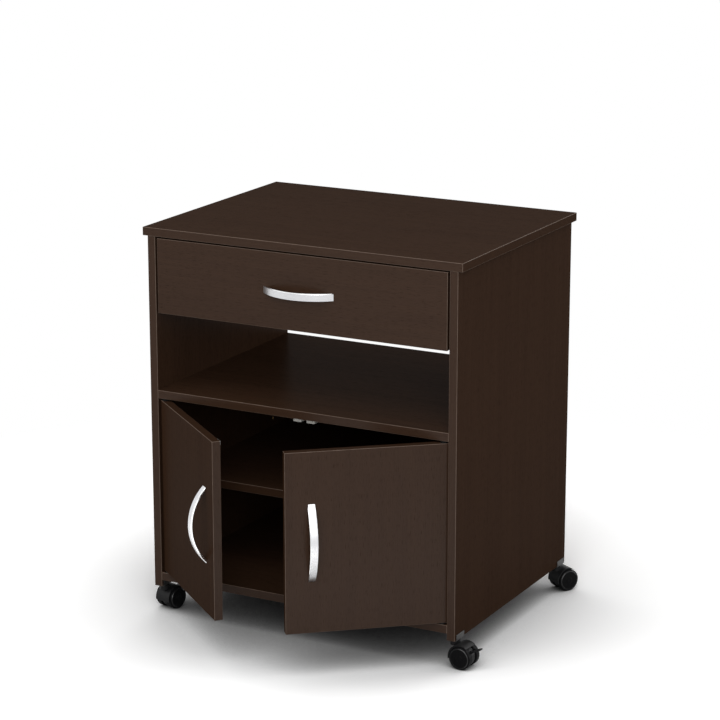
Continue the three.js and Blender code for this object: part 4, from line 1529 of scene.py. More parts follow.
@dataclass
class Carcass(SubAssembly):
    """The fixed boards, the back and what is let into them.

    Attributes:
        lap, nails: how far the back lies over the boards, and how many nails hold it.
        pin_radius, pin_depth, pin_pitch, pin_rows: of the shelf pins' holes, with the y of their rows.
        pin_height, pin_sunk: z of the hole that carries the shelf, and how much of a pin is in it.
        socket_radius, socket_depth, socket_places: of the caster stems' sockets, with their y.
        hinge_hole, hinge_depth: radius and depth of a door pin's hole.
        cap_inset, cap_rows, cap_edge: of the fitting caps, from a board's ends, their y, and from the edges
            of the rail.
    """

    lap: float = 6.0
    nails: int = 26
    pin_radius: float = 2.6
    pin_depth: float = 9.0
    pin_pitch: float = 32.0
    pin_rows: tuple[float, float] = (96.0, 404.0)
    pin_height: float = 230.0
    pin_sunk: float = 8.2
    socket_radius: float = 4.3
    socket_depth: float = 34.0
    socket_places: tuple[float, float] = (20.0, 444.0)
    hinge_hole: float = 2.8
    hinge_depth: float = 9.0
    cap_inset: float = 34.0
    cap_rows: Point = (70.0, 390.0)
    cap_edge: float = 25.0

    def boards(self) -> list[Board]:
        """The boards of the carcass.

        Returns:
            The boards, each with its finish's axes and banded sides.
        """
        return [
            Board("top_panel", "top_board", Axis.Z, Axis.X, banded="-y+y-x+x"),
            Board("left_side_panel", "left_side_board", Axis.X, Axis.Z, banded="-y", tight=0.35),
            Board("right_side_panel", "right_side_board", Axis.X, Axis.Z, banded="-y", tight=0.35),
            Board("bottom_panel", "bottom_board", Axis.Z, Axis.X),
            Board("fixed_shelf", "middle_shelf_board", Axis.Z, Axis.X),
            Board("adjustable_shelf", "inner_shelf_board", Axis.Z, Axis.X),
            Board("back_rail", "back_rail_board", Axis.Y, Axis.X, banded="-z+z"),
        ]

    def rabbet(self) -> Solid:
        """The step that the thin back lies in."""
        low, high = self.shop.box("lower_back_panel")
        return Solid.block((low.x, low.y, low.z), (high.x, high.y + 5, high.z), CHIPBOARD)

    def cutters(self, node: str) -> list[Solid]:
        """What is cut out of a board.

        Args:
            node: the board's node.

        Returns:
            The cutting solids.
        """
        low, high = self.shop.box(node)
        if node.endswith("side_panel"):
            return [*self.side_bores(low, high), self.rabbet()]
        if node == "bottom_panel":
            return [*self.hinge_bores(high.z, -1), self.rabbet()]
        if node == "fixed_shelf":
            return [*self.hinge_bores(low.z, 1), self.rabbet()]
        return []

    def side_bores(self, low: Vector, high: Vector) -> list[Solid]:
        """The shelf pins' holes and the casters' sockets in the side between two corners.

        Args:
            low: the side's low corner.
            high: its high corner.

        Returns:
            The cutting solids.
        """
        inner = high.x if high.x < 0 else low.x
        outward = math.copysign(1.0, inner)
        x, z = inner + outward * (self.pin_depth / 2 - 1.0), self.pin_height - 2 * self.pin_pitch
        front, back = self.pin_rows
        values = {
            "Count": 5, "Pitch": self.pin_pitch, "Radius": self.pin_radius, "Depth": self.pin_depth + 2.0,
            "First": (x, front, z), "Second": (x, back, z), "Sides": 24,
        }
        middle = (low.x + high.x) / 2
        socket = partial(Solid.rod, self.socket_radius, -2, self.socket_depth, CHIPBOARD)
        return [DrillRows().make(CHIPBOARD, values), *(socket().at(middle, y, low.z) for y in self.socket_places)]

    def hinge_bores(self, face: float, grow: int) -> list[Solid]:
        """The two door pins' holes, from a face of a board into it, up for 1 or down for -1.

        Args:
            face: height of the board's face.
            grow: 1 for a board above the door, -1 for one below.

        Returns:
            The solids to cut away, left and right.
        """
        start, end = sorted((face - 2 * grow, face + self.hinge_depth * grow))
        pivots = [self.shop.pivot(f"{side}_door_hinge") for side in SIDES]
        return [Solid.rod(self.hinge_hole, start, end, CHIPBOARD, 24).at(p.x, p.y, 0) for p in pivots]

    def shelf_pins(self) -> None:
        """The four plated pins under the inner shelf, flat on top where the shelf lies."""
        for side in SIDES:
            for row in ("front", "back"):
                node = f"shelf_pin_{side}_{row}"
                low, high = self.shop.box(node)
                reach, (_, y, _) = high.x - low.x, centre_of(low, high)
                collar = self.pin_sunk if side == "left" else reach - self.pin_sunk - 1.5
                profile = [
                    (0, 0), (2.1, 0), (2.5, 0.4), (2.5, collar - 0.1), (3.8, collar), (4.0, collar + 0.2),
                    (4.0, collar + 1.3), (3.8, collar + 1.5), (2.5, collar + 1.6), (2.5, reach - 0.4),
                    (2.1, reach), (0, reach),
                ]
                pin = Solid.turned(profile, ZINC, 32).at(low.x, y, self.pin_height, Axis.X)
                shelf = Solid.block((low.x - 5, y - 9, high.z), (high.x + 5, y + 9, high.z + 9), ZINC)
                self.shop.hand_over(pin.less(shelf), f"plated_{node}", Slot.ZINC, node)

    def back(self) -> None:
        """The thin back, printed inside and bare fibre outside, and the nails round it."""
        low, high = self.shop.box("lower_back_panel")
        sheet = Solid.block(low, high, HARDBOARD).eased(0.25, 1).faced(Axis.Y, BOARD_FACE, (-1,))
        own = Matrix([(1, 0, 0), (0, 0, 1), (0, -1, 0)]).to_4x4()
        self.shop.hand_over(sheet, "cupboard_back", Slot.HARDBOARD, "lower_back_panel", own=own)
        pattern, (width, _, height) = linked("pattern", self.fastenings.nail().mesh), high - low
        values = {"Width": width - self.lap, "Height": height - self.lap, "Count": self.nails, "Nail": pattern}
        nails = NailedBorder().make(SCREW_STEEL, values)
        cleared(pattern)
        x, _, z = centre_of(low, high)
        nails.moved(Matrix.Translation((x, high.y, z)))
        self.shop.hand_over(nails, "back_nails", Slot.ZINC)

    def caps(self) -> None:
        """Caps over the cam fittings, under the fixed boards and behind the rail."""
        low, high = self.shop.box("fixed_shelf")
        bottom, _ = self.shop.box("bottom_panel")
        rail_low, rail_high = self.shop.box("back_rail")
        places = [
            ((sign * (high.x - self.cap_inset), y, z), (0, 0, -1))
            for sign in (-1, 1)
            for z in (low.z, bottom.z)
            for y in self.cap_rows
        ]
        places += [
            ((sign * (rail_high.x - self.cap_inset), rail_high.y, z), (0, 1, 0))
            for sign in (-1, 1)
            for z in (rail_low.z + self.cap_edge, rail_high.z - self.cap_edge)
        ]
        made = self.fastenings.field(self.fastenings.cap(), places, BROWN_CAP, 3)
        self.shop.hand_over(made, "fitting_caps", Slot.LAMINATE)

    def build(self) -> None:
        """Builds and dresses the whole carcass."""
        for board in self.boards():
            low, high = self.shop.box(board.node)
            solid = board.solid(low, high)
            cutters = self.cutters(board.node)
            if cutters:
                solid.less(*cutters)
            self.shop.hand_over_board(board, solid, low, high)
        self.back()
        self.shelf_pins()
        self.caps()


# ---------------------------------------------------------------- handles


# From a handle's middle to each of its screws.
SCREW_REACH = 64.0


@dataclass(frozen=True)
class BowHandle:
    """A brushed bow handle. Built along X, rising toward +Y from the board's face at y = 0.

    Attributes:
        length, width, rise: over its feet, of the strap, and from the face to the crown.
        strap, bevel: the strap's thickness and the bevel of its long edges.
        steps: chords in the bow.
        overrun: how far the strap runs on past each foot before it is cut off, in radians.
    """

    length: float = 136.0
    width: float = 14.0
    rise: float = 28.0
    strap: float = 4.5
    bevel: float = 1.3
    steps: int = 56
    overrun: float = 0.09

    def solid(self) -> Solid:
        """Bends the strap and cuts its feet flat.

        Returns:
            The handle, in its own frame.
        """
        half, radius = self.length / 2, (self.length**2 / 4 + self.rise**2) / (2 * self.rise)
        middle, centre = radius - self.strap / 2, self.rise - radius
        reach = math.asin(half / radius) + self.overrun
        foot = (middle * math.sin(reach), centre + middle * math.cos(reach), 0.0)
        values = {
            "Start": (-foot[0], foot[1], 0.0), "Crown": (0.0, centre + middle, 0.0), "End": foot,
            "Width": self.width, "Strap": self.strap, "Ease": self.bevel, "Steps": self.steps,
        }
        made = BowStrap().make(NICKEL, values)
        with opened(made.mesh) as work:
            bmesh.ops.recalc_face_normals(work, faces=work.faces)
        return made.eased(0.22, 2, 30.0)

    def edge_of(self) -> Callable[[Vector], float]:
        """The mask of the polished bevels along both long edges, which are also painted lighter as a highlight.

        Returns:
            A function from a point of the handle to the mask there.
        """
        inner = self.width / 2 - self.bevel

        def mask(point: Vector) -> float:
            """Grows from the inner line of the bevel to its outer line."""
            return max(0.0, min(1.0, (abs(point.z) - inner - 0.12) / 0.3))

        return mask

    @staticmethod
    def across(x: float, y: float, z: float) -> Matrix:
        """Stands the handle on a front, with its length across."""
        return Matrix.Translation((x, y, z)) @ Matrix.Rotation(math.pi, 4, "X")

    @staticmethod
    def upright(x: float, y: float, z: float) -> Matrix:
        """Stands the handle on a front, with its length upright."""
        return Matrix.Translation((x, y, z)) @ Matrix([(0, 0, 1), (0, -1, 0), (1, 0, 0)]).to_4x4()


# ---------------------------------------------------------------- drawer


@dataclass
class Drawer(SubAssembly):
    """The drawer box with its front, handle and rails, and the channels that it runs in.

    Attributes:
        handle: the bow handle.
        sheet: thickness of the pressed steel.
        bore: radius of a roller's bore.
    """

    handle: BowHandle
    sheet: float = 1.2
    bore: float = 2.4

    def boards(self) -> list[Board]:
        """The boards of the drawer box.

        Returns:
            The boards, each with its finish's axes and banded sides.
        """
        return [
            Board("drawer_front", "drawer_face_board", Axis.Y, Axis.X, "drawer", "-x+x-z+z", 0.8),
            Board("drawer_side_left", "drawer_left_board", Axis.X, Axis.Y, "drawer", "+z", 0.6),
            Board("drawer_side_right", "drawer_right_board", Axis.X, Axis.Y, "drawer", "+z", 0.6),
            Board("drawer_back", "drawer_back_board", Axis.Y, Axis.X, "drawer", "+z", 0.6),
        ]

    def box(self) -> None:
        """The boards, grooved for the bottom, and the bottom itself."""
        low, high = self.shop.box("drawer_bottom")
        for board in self.boards():
            start, end = self.shop.box(board.node)
            solid = board.solid(start, end)
            if board.node != "drawer_back":
                room = (low - Vector((0.5, 0.5, 0.0)), high + Vector((0.5, 9.0, 0.2)))
                solid.less(Solid.block(*room, CHIPBOARD))
            self.shop.hand_over_board(board, solid, start, end)
        sheet = Solid.block(low, high, HARDBOARD).eased(0.25, 1).faced(Axis.Z, BOARD_FACE, (1,))
        self.shop.hand_over(sheet, "drawer_base", Slot.HARDBOARD, "drawer_bottom", body="drawer")

    def profile(self, node: str, moving: bool) -> list[Point]:
        """The bent outline of a channel or a rail on the right-hand side, in x and z.

        Args:
            node: its plain node.
            moving: whether it is the drawer's rail.

        Returns:
            The outline.
        """
        low, high = self.shop.box(node.replace("left", "right"))
        t, bend, soft = self.sheet, 1.7, 0.35
        if moving:
            web, foot = self.shop.box("drawer_side_right")[1].x, low.x
            return rounded([
                (foot, low.z, soft), (web + t, low.z, bend), (web + t, high.z - t, 0.5), (high.x, high.z - t, soft),
                (high.x, high.z, soft), (web, high.z, bend), (web, low.z + t, 0.5), (foot, low.z + t, soft),
            ])
        return rounded([
            (low.x, low.z, soft), (high.x, low.z, bend), (high.x, high.z, bend), (low.x, high.z, soft),
            (low.x, high.z - t, soft), (high.x - t, high.z - t, 0.5), (high.x - t, low.z + t, 0.5),
            (low.x, low.z + t, soft),
        ])

    def pin(self, roller: str, wall: float) -> Solid:
        """A riveted roller pin from a steel wall to the roller's free face, on the right-hand side.

        Args:
            roller: the roller's node.
            wall: where the steel wall lies on X.

        Returns:
            The pin.
        """
        low, high = self.shop.box(roller.replace("left", "right"))
        _, y, z = centre_of(low, high)
        free = low.x if wall > low.x + 3 else high.x
        start, length, flip = min(free, wall), abs(free - wall), free < wall
        profile = [(0, 0), (1.9, 0), (2.2, 0.3), (2.2, length - 0.3), (2.2, length), (0, length)]
        if not flip:
            profile = [(r, length - h) for r, h in reversed(profile)]
        return Solid.turned(profile, ZINC, 24).at(start, y, z, Axis.X)

    def steel(self, side: str) -> None:
        """The cabinet's channel and the drawer's rail on one side.

        Args:
            side: left or right.
        """
        mirror = Matrix.Scale(-1, 4, (1, 0, 0)) if side == "left" else Matrix.Identity(4)
        for moving in (False, True):
            owner = "drawer" if moving else "cabinet"
            node = f"{owner}_runner_{side}"
            low, high = self.shop.box(node.replace("left", "right"))
            outline = self.profile(node, moving)
            bar = Solid.pushed(outline, low.y, high.y, ENAMEL, Axis.Y)
            wall = self.shop.box("drawer_side_right")[1].x + self.sheet if moving else high.x - self.sheet
            _, middle, z = centre_of(low, high)
            sign = 1 if moving else -1
            seats = [((wall, y, z), (sign, 0, 0)) for y in (low.y + 45, middle, high.y - 50)]
            screws = self.fastenings.pans(seats, 11) if moving else self.fastenings.flushes(seats, 7, SCREW_STEEL)
            pin = self.pin(f"{owner}_roller_{side}", wall - sign * 0.2)
            whole = bar.with_parts(pin, screws).moved(mirror)
            name = f"drawer_rail_{side}" if moving else f"cabinet_channel_{side}"
            self.shop.hand_over(whole, name, Slot.ENAMEL, node, body=owner)

    def rollers(self) -> None:
        """The four nylon rollers, with a raised hub and a shallow groove in each face."""
        for owner in ("cabinet", "drawer"):
            for side in SIDES:
                node = f"{owner}_roller_{side}"
                low, high = self.shop.box(node)
                width, radius, bore = high.x - low.x, (high.z - low.z) / 2, self.bore
                profile = [
                    (bore, 0.1), (4.2, 0.1), (4.4, 0.5), (6.6, 0.5), (6.8, 0), (radius - 0.5, 0), (radius, 0.5),
                    (radius, width - 0.5), (radius - 0.5, width), (6.8, width), (6.6, width - 0.5),
                    (4.4, width - 0.5), (4.2, width - 0.1), (bore, width - 0.1),
                ]
                _, y, z = centre_of(low, high)
                wheel = Solid.turned(profile, WHITE_MOULDING, 48).at(low.x, y, z, Axis.X)
                self.shop.hand_over(wheel, f"nylon_{node}", Slot.WHITE, node, body=node)

    def build(self) -> None:
        """Builds and dresses the drawer and its runners."""
        self.box()
        low, high = self.shop.box("drawer_front")
        middle = (low.z + high.z) / 2
        stand = self.handle.across(0, low.y, middle)
        extra = {"body": "drawer", "stand": stand, "edge": self.handle.edge_of()}
        self.shop.hand_over(self.handle.solid(), "drawer_bow_handle", Slot.NICKEL, "drawer_handle", **extra)
        seats = [((x, high.y, middle), (0, 1, 0)) for x in (-SCREW_REACH, SCREW_REACH)]
        screws = self.fastenings.pans(seats, 5)
        self.shop.hand_over(screws, "drawer_handle_screws", Slot.ZINC, body="drawer")
        for side in SIDES:
            self.steel(side)
        self.rollers()


# ---------------------------------------------------------------- doors


@dataclass
class Door(SubAssembly):
    """One door with its handle, strike plate and bushes. Built closed, then turned open.

    Attributes:
        handle: the bow handle.
        side, open_angle: left or right, and how far open it stands, in degrees.
        thickness: of the board.
        meeting_gap, under_gap, over_gap: from the middle plane to the free edge, under and over the door.
        edge_inset, handle_inset: from the hinge edge to the pins, and from the free edge to the handle.
        bush, flange: radius and length of a bush, and radius and thickness of its flange.
        pin_radius: radius of a hinge pin.
        strike_size, strike_inset: of the strike plate, and from the door's free and top edges to it.
    """

    handle: BowHandle
    side: str
    open_angle: float = 40.0
    thickness: float = 15.0
    meeting_gap: float = 1.0
    edge_inset: float = 7.5
    under_gap: float = 3.0
    over_gap: float = 4.0
    handle_inset: float = 45.0
    bush: Point = (4.0, 11.0)
    flange: Point = (6.5, 1.3)
    pin_radius: float = 2.5
    strike_size: Triple = (16.0, 1.5, 8.0)
    strike_inset: Point = (4.0, 1.0)

    def pivot(self) -> Vector:
        """Where the door turns."""
        return self.shop.pivot(f"{self.side}_door_hinge")

    def sign(self) -> float:
        """-1 for the left door and 1 for the right one."""
        return math.copysign(1.0, self.pivot().x)

    def place(self) -> tuple[Vector, Vector]:
        """The low and high corners of the closed door.

        Returns:
            The two corners.
        """
        bottom = self.shop.box("bottom_panel")[1].z + self.under_gap
        top = self.shop.box("fixed_shelf")[0].z - self.over_gap
        ends = sorted((self.sign() * self.meeting_gap, self.pivot().x + self.sign() * self.edge_inset))
        return Vector((ends[0], 0, bottom)), Vector((ends[1], self.thickness, top))

    def hand_over(
        self, solid: Solid, name: str, slot: Slot, *nodes: str, stand: Matrix | None = None, **extra: Any
    ) -> None:
        """Hands a piece of the door over, turned from closed to where the door stands.

        Args:
            solid: the solid, which is used up.
            name: the piece's name, without the side.
            slot: the record's material slot.
            *nodes: the plain nodes that it stands for.
            stand: the move from where it was built to the closed door.
            **extra: what else the shop is told.
        """
        pivot = self.pivot()
        axis = Matrix.Translation((pivot.x, pivot.y, 0))
        angle = math.radians(self.open_angle) * self.sign()
        turn = axis @ Matrix.Rotation(angle, 4, "Z") @ axis.inverted() @ (stand or Matrix.Identity(4))
        name, body = f"{self.side}_{name}", f"{self.side}_door"
        self.shop.hand_over(solid, name, slot, *nodes, body=body, stand=turn, **extra)

    def leaf(self) -> None:
        """The board, bored for its bushes."""
        (low, high), pivot = self.place(), self.pivot()
        board = Board(f"{self.side}_door", "", Axis.Y, Axis.Z, f"{self.side}_door", "-x+x-z+z", 0.8)
        radius, depth = self.bush[0] + 0.3, self.bush[1] + 0.3
        bores = [
            Solid.rod(radius, start, end, CHIPBOARD).at(pivot.x, pivot.y, 0)
            for start, end in ((low.z - 2, low.z + depth), (high.z - depth, high.z + 2))
        ]
        extra = {"own": board.own(), "edge": board.edge_of(low, high)}
        self.hand_over(board.solid(low, high).less(*bores), "door_board", Slot.LAMINATE, board.node, **extra)

    def bow(self) -> None:
        """The handle."""
        low, high = self.place()
        stand = self.handle.upright(self.sign() * (self.meeting_gap + self.handle_inset), 0, (low.z + high.z) / 2)
        extra = {"stand": stand, "edge": self.handle.edge_of()}
        self.hand_over(self.handle.solid(), "door_bow_handle", Slot.NICKEL, f"door_handle_{self.side}", **extra)

    def strike(self) -> None:
        """The strike plate with its screw, on the back of the leaf's upper free corner."""
        (wide, thick, tall), (aside, under) = self.strike_size, self.strike_inset
        near, top = self.meeting_gap + aside, self.place()[1].z - under
        ends = sorted((self.sign() * near, self.sign() * (near + wide)))
        corners = [(ends[0], top - tall), (ends[1], top - tall), (ends[1], top), (ends[0], top)]
        outline = rounded([(u, v, 1.4) for u, v in corners])
        plate = Solid.pushed(outline, self.thickness, self.thickness + thick, ZINC, Axis.Y).eased(0.25, 2)
        seat = ((sum(ends) / 2, self.thickness + thick - 0.16, top - tall / 2), (0.0, 1.0, 0.0))
        screw = self.fastenings.flushes([seat], 2, SCREW_STEEL)
        self.hand_over(plate.with_parts(screw), "strike", Slot.ZINC, f"strike_plate_{self.side}")

    def bushes(self) -> None:
        """The two flanged bushes."""
        (low, high), pivot = self.place(), self.pivot()
        for end, face, outward in (("bottom", low.z, -1), ("top", high.z, 1)):
            (r, length), (wide, thick) = self.bush, self.flange
            bore = self.pin_radius + 0.3
            profile = [
                (0, 1.0 - length), (bore, 1.0 - length), (bore, thick), (wide - 0.3, thick), (wide, thick - 0.3),
                (wide, 0), (r, 0), (r, 0.4 - length), (r - 0.5, -length), (0, -length),
            ]
            liner = Solid.turned([(u, outward * v) for u, v in profile], BLACK_MOULDING, 32)
            liner.at(pivot.x, pivot.y, face)
            self.hand_over(liner, f"{end}_bush", Slot.BLACK, f"hinge_bush_{self.side}_{end}")

    def build(self) -> None:
        """Builds and dresses the door."""
        self.leaf()
        self.bow()
        self.strike()
        self.bushes()
        low, high = self.place()
        x, middle = self.sign() * (self.meeting_gap + self.handle_inset), (low.z + high.z) / 2
        seats = [((x, self.thickness, middle + z), (0, 1, 0)) for z in (-SCREW_REACH, SCREW_REACH)]
        screws = self.fastenings.pans(seats, 9)
        self.hand_over(screws, "door_handle_screws", Slot.ZINC)


@dataclass
class DoorFittings(SubAssembly):
    """What the carcass holds for the doors: the pins that they turn on and the double catch.

    Attributes:
        pin_radius, flange: of a pin, with the radius and thickness of its flange.
        setback, plate: how far the catch's plate lies behind its heads, and its thickness.
        head, head_depth: from the middle to a head's two ends, and its depth.
    """

    pin_radius: float = 2.5
    flange: Point = (7.0, 1.4)
    setback: float = 2.0
    plate: float = 4.0
    head: Point = (5.0, 21.0)
    head_depth: float = 14.0

    def pins(self) -> None:
        """The four flanged pins."""
        faces = {"bottom": self.shop.box("bottom_panel")[1].z, "top": self.shop.box("fixed_shelf")[0].z}
        for side in SIDES:
            for end, face in faces.items():
                node = f"hinge_pin_{side}_{end}"
                low, high = self.shop.box(node)
                r, (wide, thick) = self.pin_radius, self.flange
                up = 1 if end == "bottom" else -1
                inside, outside = (face - low.z, high.z - face) if up > 0 else (high.z - face, face - low.z)
                profile = [
                    (0, -inside), (r - 0.4, -inside), (r, 0.4 - inside), (r, 0), (wide, 0), (wide, thick - 0.4),
                    (wide - 0.4, thick), (r + 0.3, thick), (r, thick + 0.3), (r, outside - 0.7),
                    (r - 0.7, outside), (0, outside),
                ]
                pin = Solid.turned([(u, up * v) for u, v in profile], DARK_PIN, 32)
                pin.at(*centre_of(low, high)[:2], face)
                self.shop.hand_over(pin, f"pivot_{side}_{end}", Slot.DARK, node)

    def catch(self) -> None:
        """The double magnetic catch: a moulded body, and a magnet between steel plates in each head."""
        low, high = self.shop.box("double_catch")
        body = Solid.block((low.x, low.y + self.setback, high.z - self.plate), high, WHITE_MOULDING)
        heads, pockets, magnets = [], [], []
        for sign in (-1, 1):
            ends = sorted(sign * end for end in self.head)
            middle, depth = sum(ends) / 2, self.head_depth
            heads.append(Solid.block((ends[0], low.y, low.z), (ends[1], low.y + depth, high.z), WHITE_MOULDING))
            pocket = ((middle - 5.8, low.y - 2, low.z + 1.7), (middle + 5.8, low.y + 1.2, low.z + 6.7))
            pockets.append(Solid.block(*pocket, WHITE_MOULDING))
            for z in (low.z + 1.8, low.z + 5.4):
                pole = Solid.block((middle - 5.6, low.y + 0.1, z), (middle + 5.6, low.y + 1.6, z + 1.2), ZINC)
                magnets.append(pole.eased(0.15, 1))
            room = ((middle - 5.2, low.y + 0.5, low.z + 3.0), (middle + 5.2, low.y + 1.5, low.z + 5.4))
            magnets.append(Solid.block(*room, FERRITE).eased(0.2, 1))
        body.fused(*heads).eased(0.7, 3).less(*pockets)
        seats = [((x, high.y - 5.0, high.z - self.plate), (0, 0, -1)) for x in (-14.0, 14.0)]
        screws = self.fastenings.pans(seats, 4)
        self.shop.hand_over(body.with_parts(*magnets, screws), "magnetic_catch", Slot.WHITE, "double_catch")

    def build(self) -> None:
        """Builds and dresses the fittings."""
        self.pins()
        self.catch()


# ---------------------------------------------------------------- casters


# The wheel's outer face from its rim to its middle: the distance from the axle, and the depth below the face.
WHEEL_FACE = (
    (18.6, 0.95), (18.4, 1.05), (18.15, 1.0), (18.0, 0.8), (17.3, 0.06), (17.0, 0.0), (16.5, 0.0), (16.2, 0.1),
    (15.7, 0.5), (15.3, 0.6), (6.2, 0.6), (5.9, 0.5), (5.5, 0.15), (5.2, 0.08), (1.6, 0.06), (1.2, 0.4), (0.0, 0.45),
)


@dataclass
class Caster(SubAssembly):
    """A twin-wheel caster with its bracket.

    It is built about its stem, with the wheels trailing toward +X and the axle along Y.

    Attributes:
        place, trail_angle: its corner, and where its wheels trail to, in degrees from +X.
        braked: whether it has a brake pedal.
        trail, gap: from the stem to the axle, and between the wheels.
        wheel, tyre: radius and width of a wheel.
        web, web_inset: thickness of the middle web, and how far it stays inside the wheels' rims.
        hood, hood_span, hood_width: the hood's two radii, its two angles and its width.
        boss, boss_top: radius and height of the swivel boss, and where its top is.
        stem_radius, axle_radius: of the steel stem and axle.
        pedal_angle, pedal_reach: where the pedal turns, seen from the axle.
        tab_drop, tab_thickness, tab_reach: of the pedal's tab, from the wheels' top down to it, its thickness,
            and how far it reaches past the wheels.
        tab_rise: how much higher the end of the pedal's tab stands than its root.
        sheet, bend, screws: the bracket's sheet, its outer bend, and from its middle to its screws.
    """

    place: str
    trail_angle: float
    braked: bool
    trail: float = 17.0
    wheel: float = 20.5
    tyre: float = 12.0
    gap: float = 14.0
    web: float = 10.0
    web_inset: float = 2.0
    hood: Point = (21.3, 23.5)
    hood_span: Point = (56.0, 190.0)
    hood_width: float = 32.0
    boss: Point = (9.0, 6.6)
    boss_top: float = 48.2
    stem_radius: float = 4.0
    axle_radius: float = 3.0
    pedal_angle: float = 40.0
    pedal_reach: float = 14.0
    tab_drop: float = 8.5
    tab_thickness: float = 2.0
    tab_reach: float = 12.5
    tab_rise: float = 4.5
    sheet: float = 1.5
    bend: float = 2.0
    screws: float = 9.0

    def stand(self) -> Matrix:
        """From the caster's own frame to where it stands.

        Returns:
            The move.
        """
        stem = self.shop.pivot(f"caster_{self.place}_swivel")
        turn = Matrix.Rotation(math.radians(self.trail_angle), 4, "Z")
        return Matrix.Translation((stem.x, stem.y, 0)) @ turn

    def hand_over(self, solid: Solid, name: str, slot: Slot, part: str, **extra: Any) -> None:
        """Hands over a part of the caster, on the body of its own name unless another is given."""
        node = f"caster_{self.place}_{part}"
        self.shop.hand_over(solid, f"{self.place}_{name}", slot, node, **{"body": node, **extra})

    def pivot(self) -> Point:
        """Where the pedal turns, in x and z."""
        a = math.radians(self.pedal_angle)
        return self.trail + self.pedal_reach * math.cos(a), self.wheel + self.pedal_reach * math.sin(a)

    def hood_skin(self, axle: Point) -> list[Point]:
        """The hood's outer line, which draws in toward the wheel at its open end.

        Args:
            axle: the axle's place.

        Returns:
            Its points, from the open end to the stem's side.
        """
        (inner, outer), (start, end) = self.hood, self.hood_span
        points, steps, lip = [], 40, 0.7
        for i in range(steps + 1):
            share = min(1.0, 2 * i / steps)
            radius = inner + lip + (outer - inner - lip) * (1 - (1 - share) ** 2)
            angle = math.radians(start + (end - start) * i / steps)
            points.append((axle[0] + radius * math.cos(angle), axle[1] + radius * math.sin(angle)))
        return points

    def body(self) -> None:
        """The moulded body: web, neck, hood, boss, stem and axle."""
        axle = (self.trail, self.wheel)
        (start, end), (inner, _) = self.hood_span, self.hood
        half, wide = self.web / 2, self.hood_width / 2
        hood = self.hood_skin(axle) + arc(inner, end, start, 40, axle)
        plate = arc(inner + 0.3, start + 0.6, end - 0.6, 36, axle)
        plate += arc(self.wheel - self.web_inset, end - 0.6, 360 + start + 0.6, 56, axle)
        top = self.shop.box(f"caster_{self.place}_body")[1].z
        boss_top, (boss_wide, boss_tall) = self.boss_top, self.boss
        profile = [
            (0, boss_top - boss_tall - 3), (boss_wide, boss_top - boss_tall - 3), (boss_wide, boss_top - 0.8),
            (boss_wide - 0.8, boss_top), (0, boss_top),
        ]
        room = Solid.rod(inner + 0.4, -20, 20, BLACK_MOULDING, 96).at(self.trail, 0, self.wheel, Axis.Y)
        boss = Solid.turned(profile, BLACK_MOULDING, 40).less(room)
        moulded = Solid.pushed(plate, -half, half, BLACK_MOULDING, Axis.Y)
        moulded.fused(Solid.pushed(hood, -wide, wide, BLACK_MOULDING, Axis.Y), boss).eased(0.55, 2, 38.0)
        r, bar = self.stem_radius, self.axle_radius
        stem = [
            (0, boss_top - 1), (r, boss_top - 1), (r, top - 9), (r - 0.5, top - 8.4), (r - 0.5, top - 6.6),
            (r, top - 6), (r, top - 1.6), (r - 1.2, top), (0, top),
        ]
        ends = self.gap / 2 + self.tyre - 1.2 - 2.4 - 0.4
        axle_bar = [(0, -ends), (bar - 0.4, -ends), (bar, 0.4 - ends), (bar, ends - 0.4), (bar - 0.4, ends), (0, ends)]
        whole = moulded.with_parts(
            Solid.turned(stem, ZINC, 32),
            Solid.turned(axle_bar, ZINC, 32).at(self.trail, 0, self.wheel, Axis.Y),
        )
        self.hand_over(whole, "caster_body", Slot.BLACK, "body", body=f"caster_{self.place}", stand=self.stand())

    def wheel_solid(self) -> Solid:
        """A wheel about Z, with its outer face up: a rounded tyre, a dished face, a hub and ribs inside.

        Returns:
            The wheel.
        """
        radius, width = self.wheel, self.tyre
        bore = self.axle_radius + 0.3
        profile = [
            (0, 8.4), (bore, 8.4), (bore, 0.0), (6.4, 0.0), (6.6, 0.2), (6.6, 6.0), (16.2, 6.0),
            (16.4, 0.3), (18.4, 0.0),
            *arc(1.9, -80, 0, 5, (radius - 1.9, 1.95)),
            *arc(2.0, 0, 78, 7, (radius - 2.0, width - 2.7)),
            *((reach, width - drop) for reach, drop in WHEEL_FACE),
        ]
        made = Solid.turned(profile, WHEEL_MOULDING, 72)
        ribs = RibRing().make(WHEEL_MOULDING, {"Count": 8, "Reach": 11.4, "Rib": (10.2, 1.5, 5.2)})
        return made.with_parts(ribs.moved(Matrix.Translation((0, 0, 3.5))))

    def rim(self, point: Vector) -> float:
        """The mask of the smooth chamfer round the wheel's cap, which is painted lighter as a highlight and made
        glossier.

        Args:
            point: a point of the wheel, in its own frame.

        Returns:
            1 on the chamfer and 0 elsewhere.
        """
        reach = math.hypot(point.x, point.y)
        on_ring = 16.95 < reach < 18.05 and point.z > self.tyre - 0.85
        return 1.0 if on_ring else 0.0

    def wheels(self) -> None:
        """The two wheels, each on its own body."""
        for which, direction in (("inner", 1), ("outer", -1)):
            lay = Matrix.Rotation(-direction * math.pi / 2, 4, "X")
            carry = Matrix.Translation((self.trail, direction * self.gap / 2, self.wheel))
            extra = {"stand": self.stand() @ carry @ lay, "edge": self.rim}
            self.hand_over(self.wheel_solid(), f"{which}_wheel", Slot.WHEEL, f"wheel_{which}", **extra)

